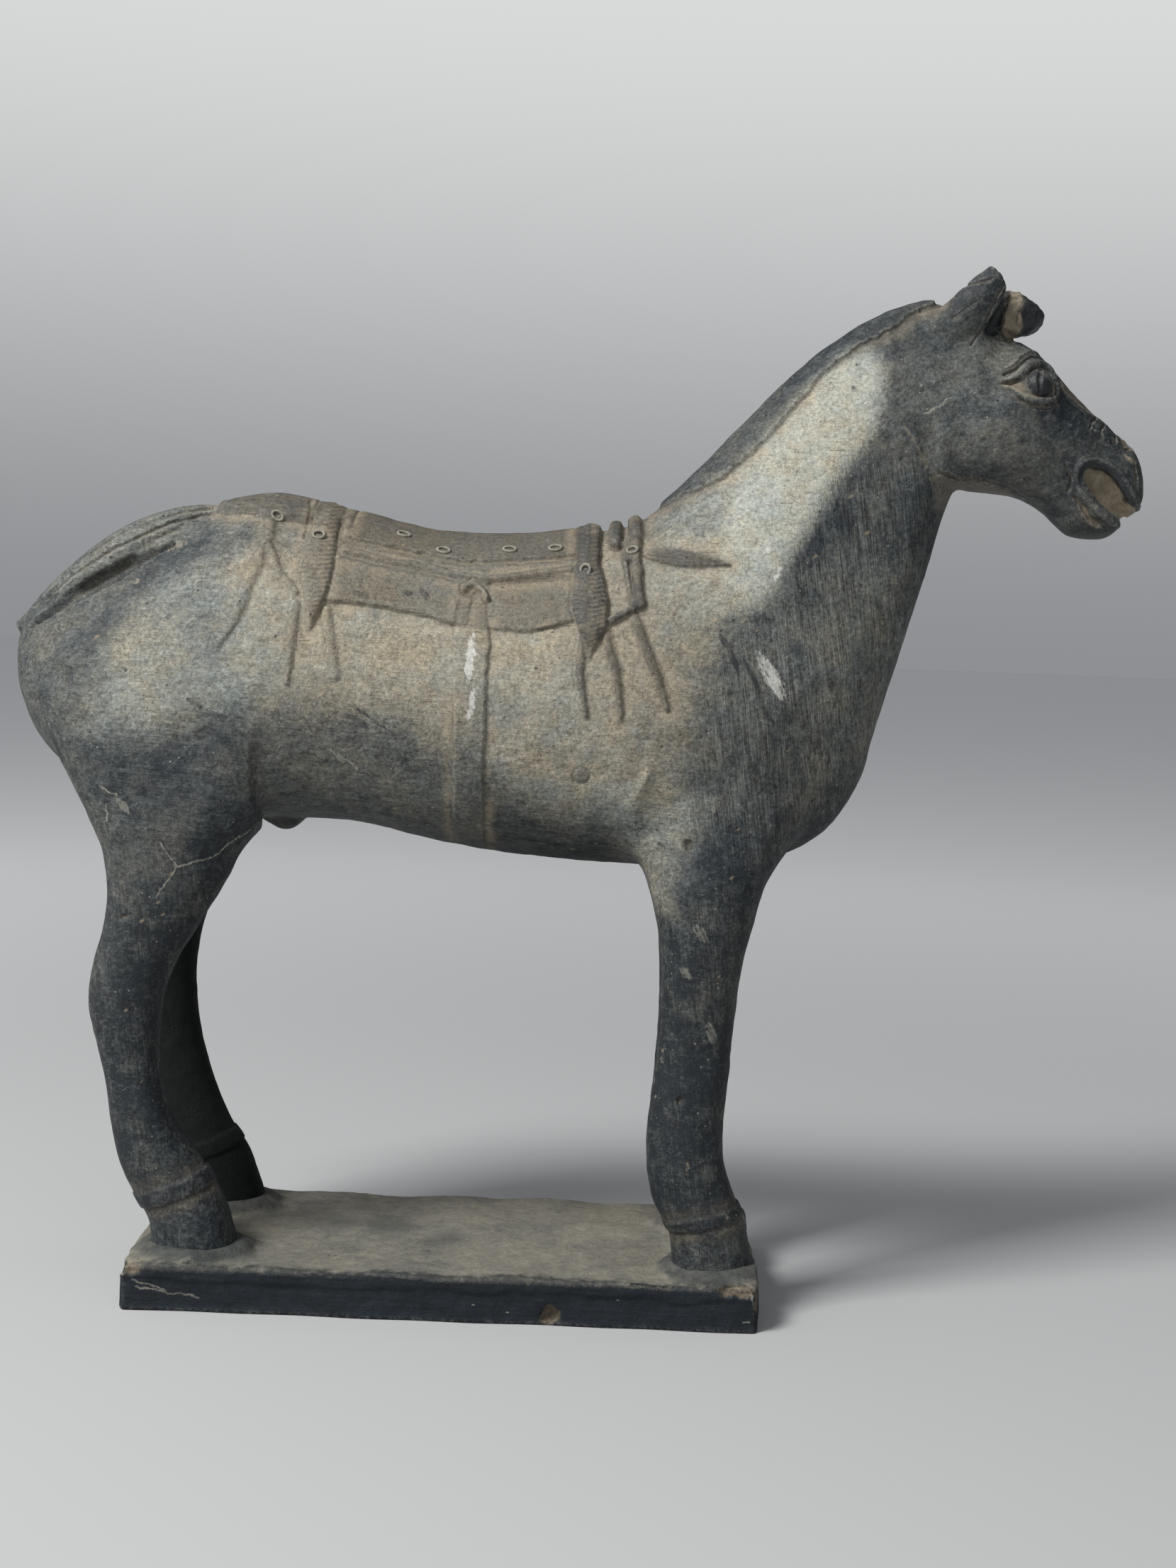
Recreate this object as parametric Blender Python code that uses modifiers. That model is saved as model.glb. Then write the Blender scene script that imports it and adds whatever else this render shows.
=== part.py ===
"""Tomb horse of fired grey clay, standing on its slab, modelled as the one piece it was fired as.

Every size below is in millimetres. The horse faces +X, +Z is up, and the origin is the middle
of the slab's underside. The big forms are lofts between unlike cross sections, fused by a voxel
remesh and softened. Ears, eyes, forelock and tail are fused on after that, and the harness, the
saddle and the lips are raised from the skin, or sunk into it, by functions of the place. A union
with the slab closes the piece.
"""
import math

import bmesh
import bpy
import mathutils
import mathutils.bvhtree
import numpy as np

MM = 0.001

COLLECTION = "Tomb horse"
NODE = "tomb_horse"
NEAR = -1
FAR = 1

CLAY_COLOUR = (0.115, 0.125, 0.122, 1.0)
CLAY_ROUGHNESS = 0.72

# Slab
SLAB_LENGTH = 217.0
SLAB_DEPTH = 106.0
SLAB_THICK = 15.5
SLAB_EDGE_ROUND = 1.8
SLAB_WAVE = 0.9

# Fineness of the fused clay, and what is left of its triangles at the end
VOXEL_BIG = 1.6
VOXEL_FINE = 1.15
SOFTENING_BIG = 14
SOFTENING_FINE = 3
HORSE_TRIANGLES = 8900

RING_POINTS = 40
COIL_POINTS = 12

# Where the legs are smeared into the barrel
BLEND_HEIGHTS = (158.0, 196.0)
BLEND_FADE = 12.0
BLEND_FROM = 8.0
BLEND_STEPS = 70

REACH = 200.0
STEPS_PER_SPAN = 5

# How far each worked layer stands proud of the skin
PAD_RISE = 1.3
SEAT_RISE = 2.1
STRAP_RISE = 2.4
CRUPPER_RISE = 2.6
CORD_RISE = 0.9
LEAF_RISE = 1.2
BAND_RISE = 1.0
MANE_RISE = 1.1
CHEEK_RISE = 2.2
THIGH_RISE = 3.0
LIP_RISE = 0.9
MOUTH_DEPTH = 5.0
EDGE = 0.8

# Worked layers in side view, rows of x, z and, for a strip, its half width
ABOVE_THE_BACK = 300.0
PAD_OUTLINE = [(-46, ABOVE_THE_BACK), (-45, 253), (-47, 241), (-33, 240), (-13, 237), (-4, 234.5),
               (9, 233.5), (22, 233), (41, 238), (41, ABOVE_THE_BACK)]
SEAT_OUTLINE = [(-44, ABOVE_THE_BACK), (-43.5, 262), (-26, 258.5), (-3, 255), (17, 256),
                (41, 259), (41, ABOVE_THE_BACK)]
SEAT_ROLL = [(-42, 257.6, 1.3), (-24, 254.4, 1.3), (-5, 251, 1.3), (12, 250.6, 1.3), (36, 254.2, 1.3)]
CRUPPER_OUTLINE = [(-93, ABOVE_THE_BACK), (-89, 271), (-64, 268), (-41, 266.5),
                   (-40, ABOVE_THE_BACK)]
GIRTH = [(3, 249, 5.0), (2.5, 238, 5.2), (3, 229, 6.3), (3, 219, 5.6), (3.6, 200, 5.2), (3.5, 165, 5.0)]
FRONT_TASSEL = [(40.5, ABOVE_THE_BACK, 4.6), (41, 256, 4.2), (42.3, 242, 6.7), (43.2, 236, 4.9),
                (42.6, 225.5, 0.6)]
REAR_TASSEL = [(-50, ABOVE_THE_BACK, 4.6), (-49.5, 266, 4.3), (-50.8, 252, 5.8), (-50.3, 245, 5.0),
               (-51.4, 231.5, 0.6)]
POSTS = [[(50.3, ABOVE_THE_BACK, 2.3), (50.3, 264, 2.2)], [(57.2, ABOVE_THE_BACK, 2.5), (57.2, 264.5, 2.2)]]
BUCKLE = [[(53, 261, 1.0), (57, 242, 1.4)], [(58.3, 262, 2.0), (60.5, 248.5, 2.0), (61.3, 242.5, 2.6)],
          [(49.4, 237.3, 1.2), (61.6, 243, 1.2)]]
STRAP_LEAF = [(59.5, 260.5, 0.8), (71.5, 259.7, 3.1), (84.5, 258.6, 1.4), (88.7, 258.2, 0.4)]
CORDS = [
    [(40.5, 231.7, 1.3), (39.6, 220.4, 1.3), (42.3, 205.8, 0.9)],
    [(47.6, 233.4, 1.3), (51.9, 220.8, 1.3), (54.1, 205.5, 0.9)],
    [(57, 240.9, 1.3), (65.5, 219.6, 1.4), (69.5, 208.9, 0.9)],
    [(-56.3, 239.3, 1.2), (-57.9, 213, 0.9)],
    [(-46.3, 238, 1.2), (-41.9, 216.2, 1.3)],
    [(-68, 269.5, 1.3), (-68.2, 260.4, 1.4), (-74.2, 242, 2.0), (-81.6, 224.9, 1.0)],
    [(-67.3, 258.7, 1.1), (-56.6, 243.6, 1.0)],
]
MANE_FIELD = [(59, 275.5), (77, 283.5), (91, 293), (105.5, 307.5), (119.5, 325.5), (132, 335.5),
              (151, 348.4), (158, 351), (164, 365), (100, 365), (50, 290)]
CHEEK_OUTLINE = [(170, 330), (162, 316), (159.2, 308), (158.6, 301), (160.6, 295.5), (164.4, 292.3),
                 (176, 290.6), (194, 286.5), (260, 270), (260, 360), (170, 360)]
CHEEK_EDGE = 3.0
CHEEK_FADE = 24.0
THIGH_OUTLINE = [(-66, 250), (-67, 205), (-69, 190), (-70.5, 175.5), (-69, 163), (-74, 120),
                 (-220, 120), (-220, 250)]
THIGH_EDGE = 6.0
THIGH_FADE = 34.0
NOSTRIL = [(227.0, 303.0, 0.9), (229.4, 298.5, 1.3)]
NOSTRIL_DEPTH = 1.6
TAIL_HOLLOW = [(-102, 259, 0.8), (-111, 254.5, 1.8), (-120, 248.8, 3.0), (-130, 243, 2.8),
               (-139, 237.4, 2.4), (-151, 230, 1.2)]
TAIL_HOLLOW_DEPTH = 3.6
EAR_HOLLOW = [(173.4, 341.5, 0.8), (175.6, 346, 1.5), (177.8, 351.5, 1.2)]
EAR_HOLLOW_DEPTH = 1.6
MOUTH_OUTLINE = [(210.4, 294), (212, 296), (215, 296), (219, 294.2), (223, 291), (227, 285.5),
                 (229.5, 282.5), (223.5, 280.8), (218.6, 282), (213.5, 287)]
LIP_GROOVE = [(209.6, 284, 1.0), (214.8, 278.7, 1.2)]
LIP_GROOVE_DEPTH = 1.2
HIND_BAND = [(-106, 33, 2.8), (-92, 38.2, 2.8), (-80, 43, 2.6)]
FORE_BAND = [(76, 31.2, 1.9), (90, 34.7, 1.9), (103.5, 37.9, 1.8)]
# Coils laid on the skin around the eye, rows of x, z and radius
UPPER_LID = [(180.5, 323.5, 0.8), (184.5, 326.2, 1.4), (189.5, 329.6, 1.7), (194.5, 330.8, 1.8),
             (198.9, 328.6, 1.6), (200.2, 324.0, 1.1)]
LOWER_LID = [(180.5, 323.1, 0.8), (184.3, 319.8, 1.3), (188.5, 317.3, 1.6), (193.5, 316.5, 1.6),
             (197.8, 318.4, 1.3), (199.8, 321.5, 0.9)]
LID_LIFT = 0.2
EYE_PLACE = (192.4, 323.9)
EYE_RADIUS = 5.0
EYE_SUNK = 2.0


def catmull_rom(rows, per_span):
    """Rows of numbers read along a smooth curve through the given rows."""
    rows = np.asarray(rows, dtype=float)
    padded = np.vstack([2 * rows[0] - rows[1], rows, 2 * rows[-1] - rows[-2]])
    t = (np.arange(per_span) / per_span)[None, :, None]
    a, b, c, d = (padded[i:len(rows) - 1 + i][:, None, :] for i in range(4))
    curve = 0.5 * (2 * b + (c - a) * t + (2 * a - 5 * b + 4 * c - d) * t ** 2
                   + (3 * b - a - 3 * c + d) * t ** 3)
    return np.vstack([curve.reshape(-1, rows.shape[1]), rows[-1]])


def signed_power(values, exponent):
    """Power that keeps the sign, for a superellipse."""
    return np.sign(values) * np.abs(values) ** exponent


def loft(name, stations, square=2.0, egg=0.0):
    """Closed form through stations of (x, z of one edge, x, z of the other, y, half width).

    Each ring spans its two edge points in the XZ plane and its half width along Y. egg makes
    the ring narrower towards its first edge, and square above 2 makes it fuller.
    """
    rows = catmull_rom(stations, STEPS_PER_SPAN)
    angle = np.linspace(0.0, 2 * math.pi, RING_POINTS, endpoint=False)
    up = signed_power(np.cos(angle), 2 / square)
    side = signed_power(np.sin(angle), 2 / square) * (1 - egg * up)
    middle = (rows[:, 0:2] + rows[:, 2:4]) / 2
    reach = (rows[:, 0:2] - rows[:, 2:4]) / 2
    xz = middle[:, None, :] + reach[:, None, :] * up[None, :, None]
    y = rows[:, 4:5] + rows[:, 5:6] * side[None, :]
    points = np.stack([xz[..., 0], y, xz[..., 1]], axis=-1).reshape(-1, 3)
    return solid(name, points, ring_faces(len(rows), RING_POINTS))


def ring_faces(rings, around):
    """Faces of a closed skin over rings of points, its ends capped."""
    faces = []
    for low in range(0, (rings - 1) * around, around):
        for step in range(around):
            after = (step + 1) % around
            faces.append((low + step, low + after, low + around + after, low + around + step))
    faces.append(tuple(reversed(range(around))))
    faces.append(tuple((rings - 1) * around + step for step in range(around)))
    return faces


def solid(name, points, faces):
    """Mesh object from points in millimetres, its faces turned outward."""
    mesh = bpy.data.meshes.new(name)
    mesh.from_pydata((np.asarray(points) * MM).tolist(), [], faces)
    cleaner = bmesh.new()
    cleaner.from_mesh(mesh)
    bmesh.ops.recalc_face_normals(cleaner, faces=cleaner.faces)
    cleaner.to_mesh(mesh)
    cleaner.free()
    made = bpy.data.objects.new(name, mesh)
    bpy.data.collections[COLLECTION].objects.link(made)
    return made


def evaluated_copy(source, name):
    """New object that holds the source's mesh with its modifiers applied."""
    graph = bpy.context.evaluated_depsgraph_get()
    mesh = bpy.data.meshes.new_from_object(source.evaluated_get(graph))
    made = bpy.data.objects.new(name, mesh)
    made.matrix_world = source.matrix_world
    bpy.data.collections[COLLECTION].objects.link(made)
    return made


def fuse(name, pieces, voxel, softening):
    """One skin around overlapping pieces, softened by so many smoothing steps."""
    joined = bmesh.new()
    for piece in pieces:
        joined.from_mesh(piece.data)
        bpy.data.objects.remove(piece, do_unlink=True)
    mesh = bpy.data.meshes.new(name)
    joined.to_mesh(mesh)
    joined.free()
    rough = bpy.data.objects.new(name + "_rough", mesh)
    bpy.data.collections[COLLECTION].objects.link(rough)
    remesh = rough.modifiers.new("Fuse", "REMESH")
    remesh.mode = "VOXEL"
    remesh.voxel_size = voxel * MM
    smooth = rough.modifiers.new("Soften", "SMOOTH")
    smooth.factor = 0.5
    smooth.iterations = softening
    made = evaluated_copy(rough, name)
    bpy.data.objects.remove(rough, do_unlink=True)
    return made


def blend_the_limbs(body):
    """Smear the clay where the legs join the barrel, as the potter's thumb would."""
    count = len(body.data.vertices)
    points = np.empty(count * 3)
    body.data.vertices.foreach_get("co", points)
    x, y, z = points.reshape(-1, 3).T / MM
    low, high = BLEND_HEIGHTS
    weight = smooth_step(low - BLEND_FADE, low, z) * (1 - smooth_step(high, high + BLEND_FADE, z))
    weight *= smooth_step(BLEND_FROM, BLEND_FROM + BLEND_FADE, np.abs(y))
    group = body.vertex_groups.new(name="limbs")
    for index in np.flatnonzero(weight > 0):
        group.add([int(index)], float(weight[index]), "REPLACE")
    smear = body.modifiers.new("Blend", "SMOOTH")
    smear.factor = 0.5
    smear.iterations = BLEND_STEPS
    smear.vertex_group = group.name
    made = evaluated_copy(body, "blended")
    bpy.data.objects.remove(body, do_unlink=True)
    return made


def smooth_step(low, high, values):
    """0 below low, 1 above high, and a smooth turn between them."""
    t = np.clip((values - low) / (high - low), 0.0, 1.0)
    return t * t * (3 - 2 * t)


def nearest_on_path(x, z, path):
    """Distance from each point to a path, and the path's own half width there."""
    path = np.asarray(path, dtype=float)
    best = np.full(len(x), np.inf)
    half = np.zeros(len(x))
    for start, end in zip(path[:-1], path[1:]):
        run = end[:2] - start[:2]
        along = ((x - start[0]) * run[0] + (z - start[1]) * run[1]) / (run @ run)
        along = np.clip(along, 0.0, 1.0)
        away = np.hypot(x - start[0] - along * run[0], z - start[1] - along * run[1])
        nearer = away < best
        best[nearer] = away[nearer]
        half[nearer] = (start[2] + along * (end[2] - start[2]))[nearer]
    return best, half


def strip(x, z, path, rise, edge=EDGE):
    """Height of a strip that is raised along a path."""
    away, half = nearest_on_path(x, z, path)
    return rise * smooth_step(-edge / 2, edge / 2, half - away)


def field(x, z, outline, rise, edge=EDGE):
    """Height of a field that is raised inside an outline."""
    corners = np.asarray(outline, dtype=float)
    closed = np.column_stack([np.vstack([corners, corners[:1]]), np.zeros(len(corners) + 1)])
    away, _ = nearest_on_path(x, z, closed)
    inside = np.zeros(len(x), dtype=bool)
    for a, b in zip(closed[:-1], closed[1:]):
        spans = (a[1] > z) != (b[1] > z)
        rise_of_edge = b[1] - a[1] if b[1] != a[1] else 1.0
        inside ^= spans & (x < (b[0] - a[0]) * (z - a[1]) / rise_of_edge + a[0])
    return rise * smooth_step(-edge / 2, edge / 2, np.where(inside, away, -away))


def bulge(x, z, outline, rise, edge, fade):
    """Height that climbs over the edge of an outline and sinks back to nothing further in."""
    corners = np.asarray(outline, dtype=float)
    closed = np.column_stack([np.vstack([corners, corners[:1]]), np.zeros(len(corners) + 1)])
    away, _ = nearest_on_path(x, z, closed)
    climb = field(x, z, outline, 1.0, edge)
    return rise * climb * (1 - smooth_step(edge, fade, away))


def worked_height(x, y, z):
    """How far the worked layers stand out of the skin at each point, grooves below zero."""
    layers = [
        field(x, z, PAD_OUTLINE, PAD_RISE),
        field(x, z, SEAT_OUTLINE, SEAT_RISE),
        strip(x, z, SEAT_ROLL, SEAT_RISE),
        field(x, z, CRUPPER_OUTLINE, CRUPPER_RISE, 4 * EDGE),
        strip(x, z, GIRTH, STRAP_RISE),
        strip(x, z, FRONT_TASSEL, STRAP_RISE + 0.5),
        strip(x, z, REAR_TASSEL, STRAP_RISE + 0.5),
        strip(x, z, STRAP_LEAF, LEAF_RISE),
        field(x, z, MANE_FIELD, MANE_RISE),
        strip(x, z, HIND_BAND, BAND_RISE),
        strip(x, z, FORE_BAND, BAND_RISE),
    ]
    layers += [strip(x, z, post, STRAP_RISE + 0.5) for post in POSTS]
    layers += [strip(x, z, bar, STRAP_RISE) for bar in BUCKLE]
    layers += [strip(x, z, cord, CORD_RISE) for cord in CORDS]
    height = np.maximum.reduce(layers)
    cheek = (1 - smooth_step(184.0, 204.0, x)) * (1 - smooth_step(302.0, 326.0, z))
    height += cheek * bulge(x, z, CHEEK_OUTLINE, CHEEK_RISE, CHEEK_EDGE, CHEEK_FADE)
    outer = smooth_step(4.0, 7.0, np.abs(y))
    height -= outer * strip(x, z, LIP_GROOVE, LIP_GROOVE_DEPTH, 2 * EDGE)
    height -= outer * strip(x, z, NOSTRIL, NOSTRIL_DEPTH, 3 * EDGE)
    height -= outer * strip(x, z, EAR_HOLLOW, EAR_HOLLOW_DEPTH, 2 * EDGE)
    height -= outer * strip(x, z, TAIL_HOLLOW, TAIL_HOLLOW_DEPTH, 3 * EDGE)
    flank = smooth_step(14.0, 24.0, np.abs(y)) * (1 - smooth_step(180.0, 206.0, z))
    flank *= smooth_step(150.0, 166.0, z)
    height += flank * bulge(x, z, THIGH_OUTLINE, THIGH_RISE, THIGH_EDGE, THIGH_FADE)
    return height


def work_the_skin(horse):
    """Raise the harness and the lips, and sink the mouth, by moving the skin's points."""
    mesh = horse.data
    count = len(mesh.vertices)
    points = np.empty(count * 3)
    normals = np.empty(count * 3)
    mesh.vertices.foreach_get("co", points)
    mesh.vertex_normals.foreach_get("vector", normals)
    points = points.reshape(-1, 3) / MM
    normals = normals.reshape(-1, 3)
    x, y, z = points.T
    moved = points + normals * worked_height(x, y, z)[:, None]
    lip = field(x, z, MOUTH_OUTLINE, LIP_RISE, 6 * EDGE)
    hole = field(x, z, MOUTH_OUTLINE, 1.0, 1.5 * EDGE)
    outward = np.sign(y) * smooth_step(3.0, 6.0, np.abs(y))
    moved[:, 1] += outward * (lip - hole * (MOUTH_DEPTH + LIP_RISE))
    mesh.vertices.foreach_set("co", (moved * MM).ravel())
    mesh.update()


def barrel_and_neck():
    """Rump, barrel, chest and neck as one form, its rings fanning out where the neck rises."""
    # x, z of the back line, x, z of the belly line, y, half width
    return loft("barrel", [
        (-158.5, 226.0, -157.5, 210.0, 0.0, 8.0),
        (-155.5, 231.0, -152.5, 196.0, 0.0, 21.0),
        (-145.0, 241.5, -143.0, 183.0, 0.0, 31.0),
        (-127.0, 253.5, -125.0, 171.0, 0.0, 39.0),
        (-103.0, 266.5, -98.0, 163.0, 0.0, 43.0),
        (-72.0, 276.0, -70.0, 164.0, 0.0, 43.5),
        (-41.0, 271.0, -40.0, 164.0, 0.0, 42.5),
        (-10.0, 265.0, -8.0, 158.0, 0.0, 43.0),
        (20.0, 265.5, 24.0, 154.0, 0.0, 43.5),
        (47.0, 269.5, 52.0, 152.5, 0.0, 42.5),
        (57.0, 272.0, 69.0, 152.0, 0.0, 41.7),
        (67.0, 279.6, 87.0, 152.0, 0.0, 40.5),
        (78.0, 290.5, 111.0, 156.5, 0.0, 37.5),
        (87.0, 300.0, 129.5, 168.0, 0.0, 34.0),
        (95.5, 309.0, 139.5, 185.0, 0.0, 30.5),
        (104.5, 319.0, 144.0, 203.0, 0.0, 27.0),
        (114.5, 329.0, 149.0, 220.0, 0.0, 24.0),
        (125.5, 338.0, 154.0, 238.0, 0.0, 21.5),
        (138.0, 346.0, 159.0, 257.0, 0.0, 19.5),
        (151.0, 351.5, 163.0, 274.0, 0.0, 18.0),
        (161.0, 353.0, 167.0, 287.0, 0.0, 16.5),
    ], square=2.15, egg=0.16)


def head():
    """Head from the poll to the lips, cheeks full and muzzle narrow."""
    return loft("head", [
        (158.0, 351.0, 156.0, 304.0, 0.0, 12.0),
        (170.0, 348.5, 162.0, 293.0, 0.0, 16.0),
        (182.0, 342.5, 172.0, 288.0, 0.0, 18.0),
        (192.0, 338.5, 183.0, 287.0, 0.0, 18.5),
        (199.5, 331.5, 193.0, 285.0, 0.0, 17.5),
        (206.5, 324.5, 200.5, 280.5, 0.0, 15.5),
        (215.0, 317.0, 205.0, 276.0, 0.0, 13.8),
        (223.5, 310.0, 209.0, 273.0, 0.0, 13.0),
        (230.5, 304.0, 216.0, 272.5, 0.0, 12.5),
        (233.6, 295.0, 222.5, 273.5, 0.0, 11.0),
        (234.2, 286.0, 227.0, 278.0, 0.0, 7.5),
    ], square=2.3, egg=0.1)


def hind_leg(side, thigh_back=0.0, cannon_forward=0.0):
    """Thigh, hock, cannon and hoof of one hind leg."""
    return loft("hind_leg", [
        (-138.0, 232.0, -78.0, 232.0, side * 16.0, 15.0),
        (-148.0, 208.0, -68.0, 207.0, side * 22.0, 19.5),
        (-141.0, 189.0, -68.0 - thigh_back / 3, 189.0, side * 25.5, 19.0),
        (-129.5, 168.0, -67.0 - thigh_back * 0.7, 173.0, side * 27.0, 18.0),
        (-122.5, 152.0, -73.5 - thigh_back, 156.0, side * 27.5, 16.0),
        (-120.0, 138.0, -80.5 - thigh_back, 141.0, side * 28.0, 14.0),
        (-121.5, 125.0, -89.0 - thigh_back * 0.8, 127.0, side * 28.5, 12.5),
        (-125.0, 112.0, -96.0 - thigh_back * 0.3, 114.0, side * 29.0, 11.5),
        (-125.5, 99.0, -99.5, 101.0, side * 29.0, 11.0),
        (-122.0, 85.0, -100.5 + cannon_forward * 0.7, 85.0, side * 29.0, 10.5),
        (-118.5, 71.0, -98.5 + cannon_forward, 71.0, side * 29.5, 10.3),
        (-116.5, 58.0, -94.5 + cannon_forward, 59.0, side * 30.0, 11.0),
        (-113.5, 46.0, -86.0, 48.0, side * 30.0, 12.3),
        (-108.0, 35.0, -79.5, 38.5, side * 30.0, 13.0),
        (-102.5, 25.0, -75.0, 29.0, side * 30.0, 13.3),
        (-102.0, 13.0, -70.5, 14.0, side * 30.0, 15.0),
    ], square=2.2)


def fore_leg(side, slim=0.0):
    """Shoulder, forearm, cannon and hoof of one fore leg, slim being how far its hoof is cut back."""
    return loft("fore_leg", [
        (60.0, 212.0, 110.0, 216.0, side * 14.0, 12.0),
        (56.0, 188.0, 119.0, 192.0, side * 18.5, 16.5),
        (58.0, 165.0, 118.0, 169.0, side * 22.5, 17.5),
        (65.5, 148.0, 107.0, 151.0, side * 25.5, 16.5),
        (69.5 + slim, 134.0, 102.5, 136.0, side * 27.0, 14.5),
        (70.5 + slim, 119.0, 99.0, 120.0, side * 28.0, 13.0),
        (71.0 + slim, 104.0, 97.5, 104.0, side * 28.5, 12.0),
        (70.2 + slim, 88.0, 96.3, 88.0, side * 29.0, 11.5),
        (68.8 + slim, 71.0, 95.4, 71.0, side * 29.5, 11.3),
        (68.2 + slim, 55.0, 95.2, 55.0, side * 30.0, 12.0),
        (70.5 + slim, 41.0, 99.0 - slim, 43.5, side * 30.0, 13.0),
        (76.5, 30.0, 104.0 - slim * 1.5, 32.0, side * 30.0, 13.3),
        (78.5, 21.0, 106.0 - slim * 1.5, 22.0, side * 30.0, 13.8),
        (78.5, 12.0, 107.5 - slim * 1.5, 12.5, side * 30.0, 14.8),
    ], square=2.2)


def ear(side):
    """Pricked ear, a thick blade with a chipped tip."""
    return loft("ear", [
        (151.0, 342.0, 168.0, 330.5, side * 7.0, 4.0),
        (156.5, 347.5, 171.0, 337.0, side * 9.5, 4.8),
        (162.0, 352.3, 174.6, 344.0, side * 11.5, 4.4),
        (168.0, 358.0, 178.6, 350.5, side * 13.0, 3.4),
        (172.8, 362.5, 180.6, 356.5, side * 13.6, 2.5),
        (174.8, 364.2, 178.5, 361.6, side * 13.6, 1.6),
    ], square=1.6)


def forelock():
    """Broken stump of the forelock, jutting over the forehead."""
    return loft("forelock", [
        (176.0, 353.0, 174.0, 341.0, 0.0, 7.0),
        (182.0, 357.5, 180.0, 342.0, 0.0, 8.5),
        (187.5, 356.5, 187.0, 341.5, 0.0, 8.0),
        (192.5, 354.0, 192.5, 342.5, 0.0, 6.8),
        (196.3, 351.0, 196.3, 346.0, 0.0, 3.5),
    ])


def sheath():
    """Small swelling under the flank."""
    return loft("sheath", [
        (-74.0, 172.0, -72.0, 163.5, 0.0, 4.0),
        (-65.0, 172.0, -65.0, 159.8, 0.0, 6.0),
        (-59.0, 172.0, -60.0, 160.5, 0.0, 5.5),
        (-53.0, 172.0, -54.0, 166.0, 0.0, 3.5),
    ])


def tail():
    """Clubbed tail that arches down over the rump and ends in its tie."""
    return loft("tail", [
        (-84.0, 272.5, -89.0, 260.0, 0.0, 6.0),
        (-96.0, 273.6, -99.0, 252.0, 0.0, 12.0),
        (-108.0, 271.0, -109.0, 247.0, 0.0, 16.5),
        (-124.0, 263.2, -120.0, 240.0, 0.0, 19.0),
        (-138.0, 253.2, -131.0, 231.0, 0.0, 18.0),
        (-148.0, 243.0, -141.0, 226.0, 0.0, 14.0),
        (-155.5, 234.5, -150.0, 223.5, 0.0, 9.0),
        (-160.5, 229.5, -157.0, 224.5, 0.0, 5.5),
    ], square=2.8)


def skin_level(skin, x, z, side):
    """How far out from the middle plane one side of the skin lies at a place in side view."""
    start = mathutils.Vector((x * MM, side * REACH * MM, z * MM))
    found, _, _, _ = skin.ray_cast(start, mathutils.Vector((0.0, -side, 0.0)))
    return side * found.y / MM


def coil(name, skin, side, rows, lift):
    """Round coil of clay laid on the skin along rows of (x, z, radius)."""
    rows = [(x, side * (skin_level(skin, x, z, side) + lift), z, radius) for x, z, radius in rows]
    path = catmull_rom(rows, STEPS_PER_SPAN)
    run = np.gradient(path[:, :3], axis=0)
    run /= np.linalg.norm(run, axis=1, keepdims=True)
    across = np.cross(run, (0.0, 1.0, 0.0))
    across /= np.linalg.norm(across, axis=1, keepdims=True)
    over = np.cross(run, across)
    angle = np.linspace(0.0, 2 * math.pi, COIL_POINTS, endpoint=False)[None, :, None]
    ring = across[:, None, :] * np.cos(angle) + over[:, None, :] * np.sin(angle)
    points = path[:, None, :3] + path[:, None, 3:4] * ring
    return solid(name, points.reshape(-1, 3), ring_faces(len(path), COIL_POINTS))


def eye(skin, side):
    """Bulging eyeball between a heavy upper and a heavy lower lid."""
    x, z = EYE_PLACE
    y = side * (skin_level(skin, x, z, side) - EYE_SUNK)
    bpy.ops.mesh.primitive_uv_sphere_add(segments=24, ring_count=12, radius=EYE_RADIUS * MM,
                                         location=(0.0, 0.0, 0.0))
    ball = bpy.context.active_object
    ball.name = "eyeball"
    ball.data.transform(mathutils.Matrix.Translation((x * MM, y * MM, z * MM)))
    return [ball, coil("upper_lid", skin, side, UPPER_LID, LID_LIFT),
            coil("lower_lid", skin, side, LOWER_LID, LID_LIFT)]


def wave(x, y, phase):
    """Unevenness of a hand-cut face, between -1 and 1."""
    return (np.sin(x / 17.0 + phase) + np.sin(x / 6.3 - 2.0 * phase + y / 21.0)
            + np.sin(y / 13.0 + 1.7 * phase)) / 3


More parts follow.
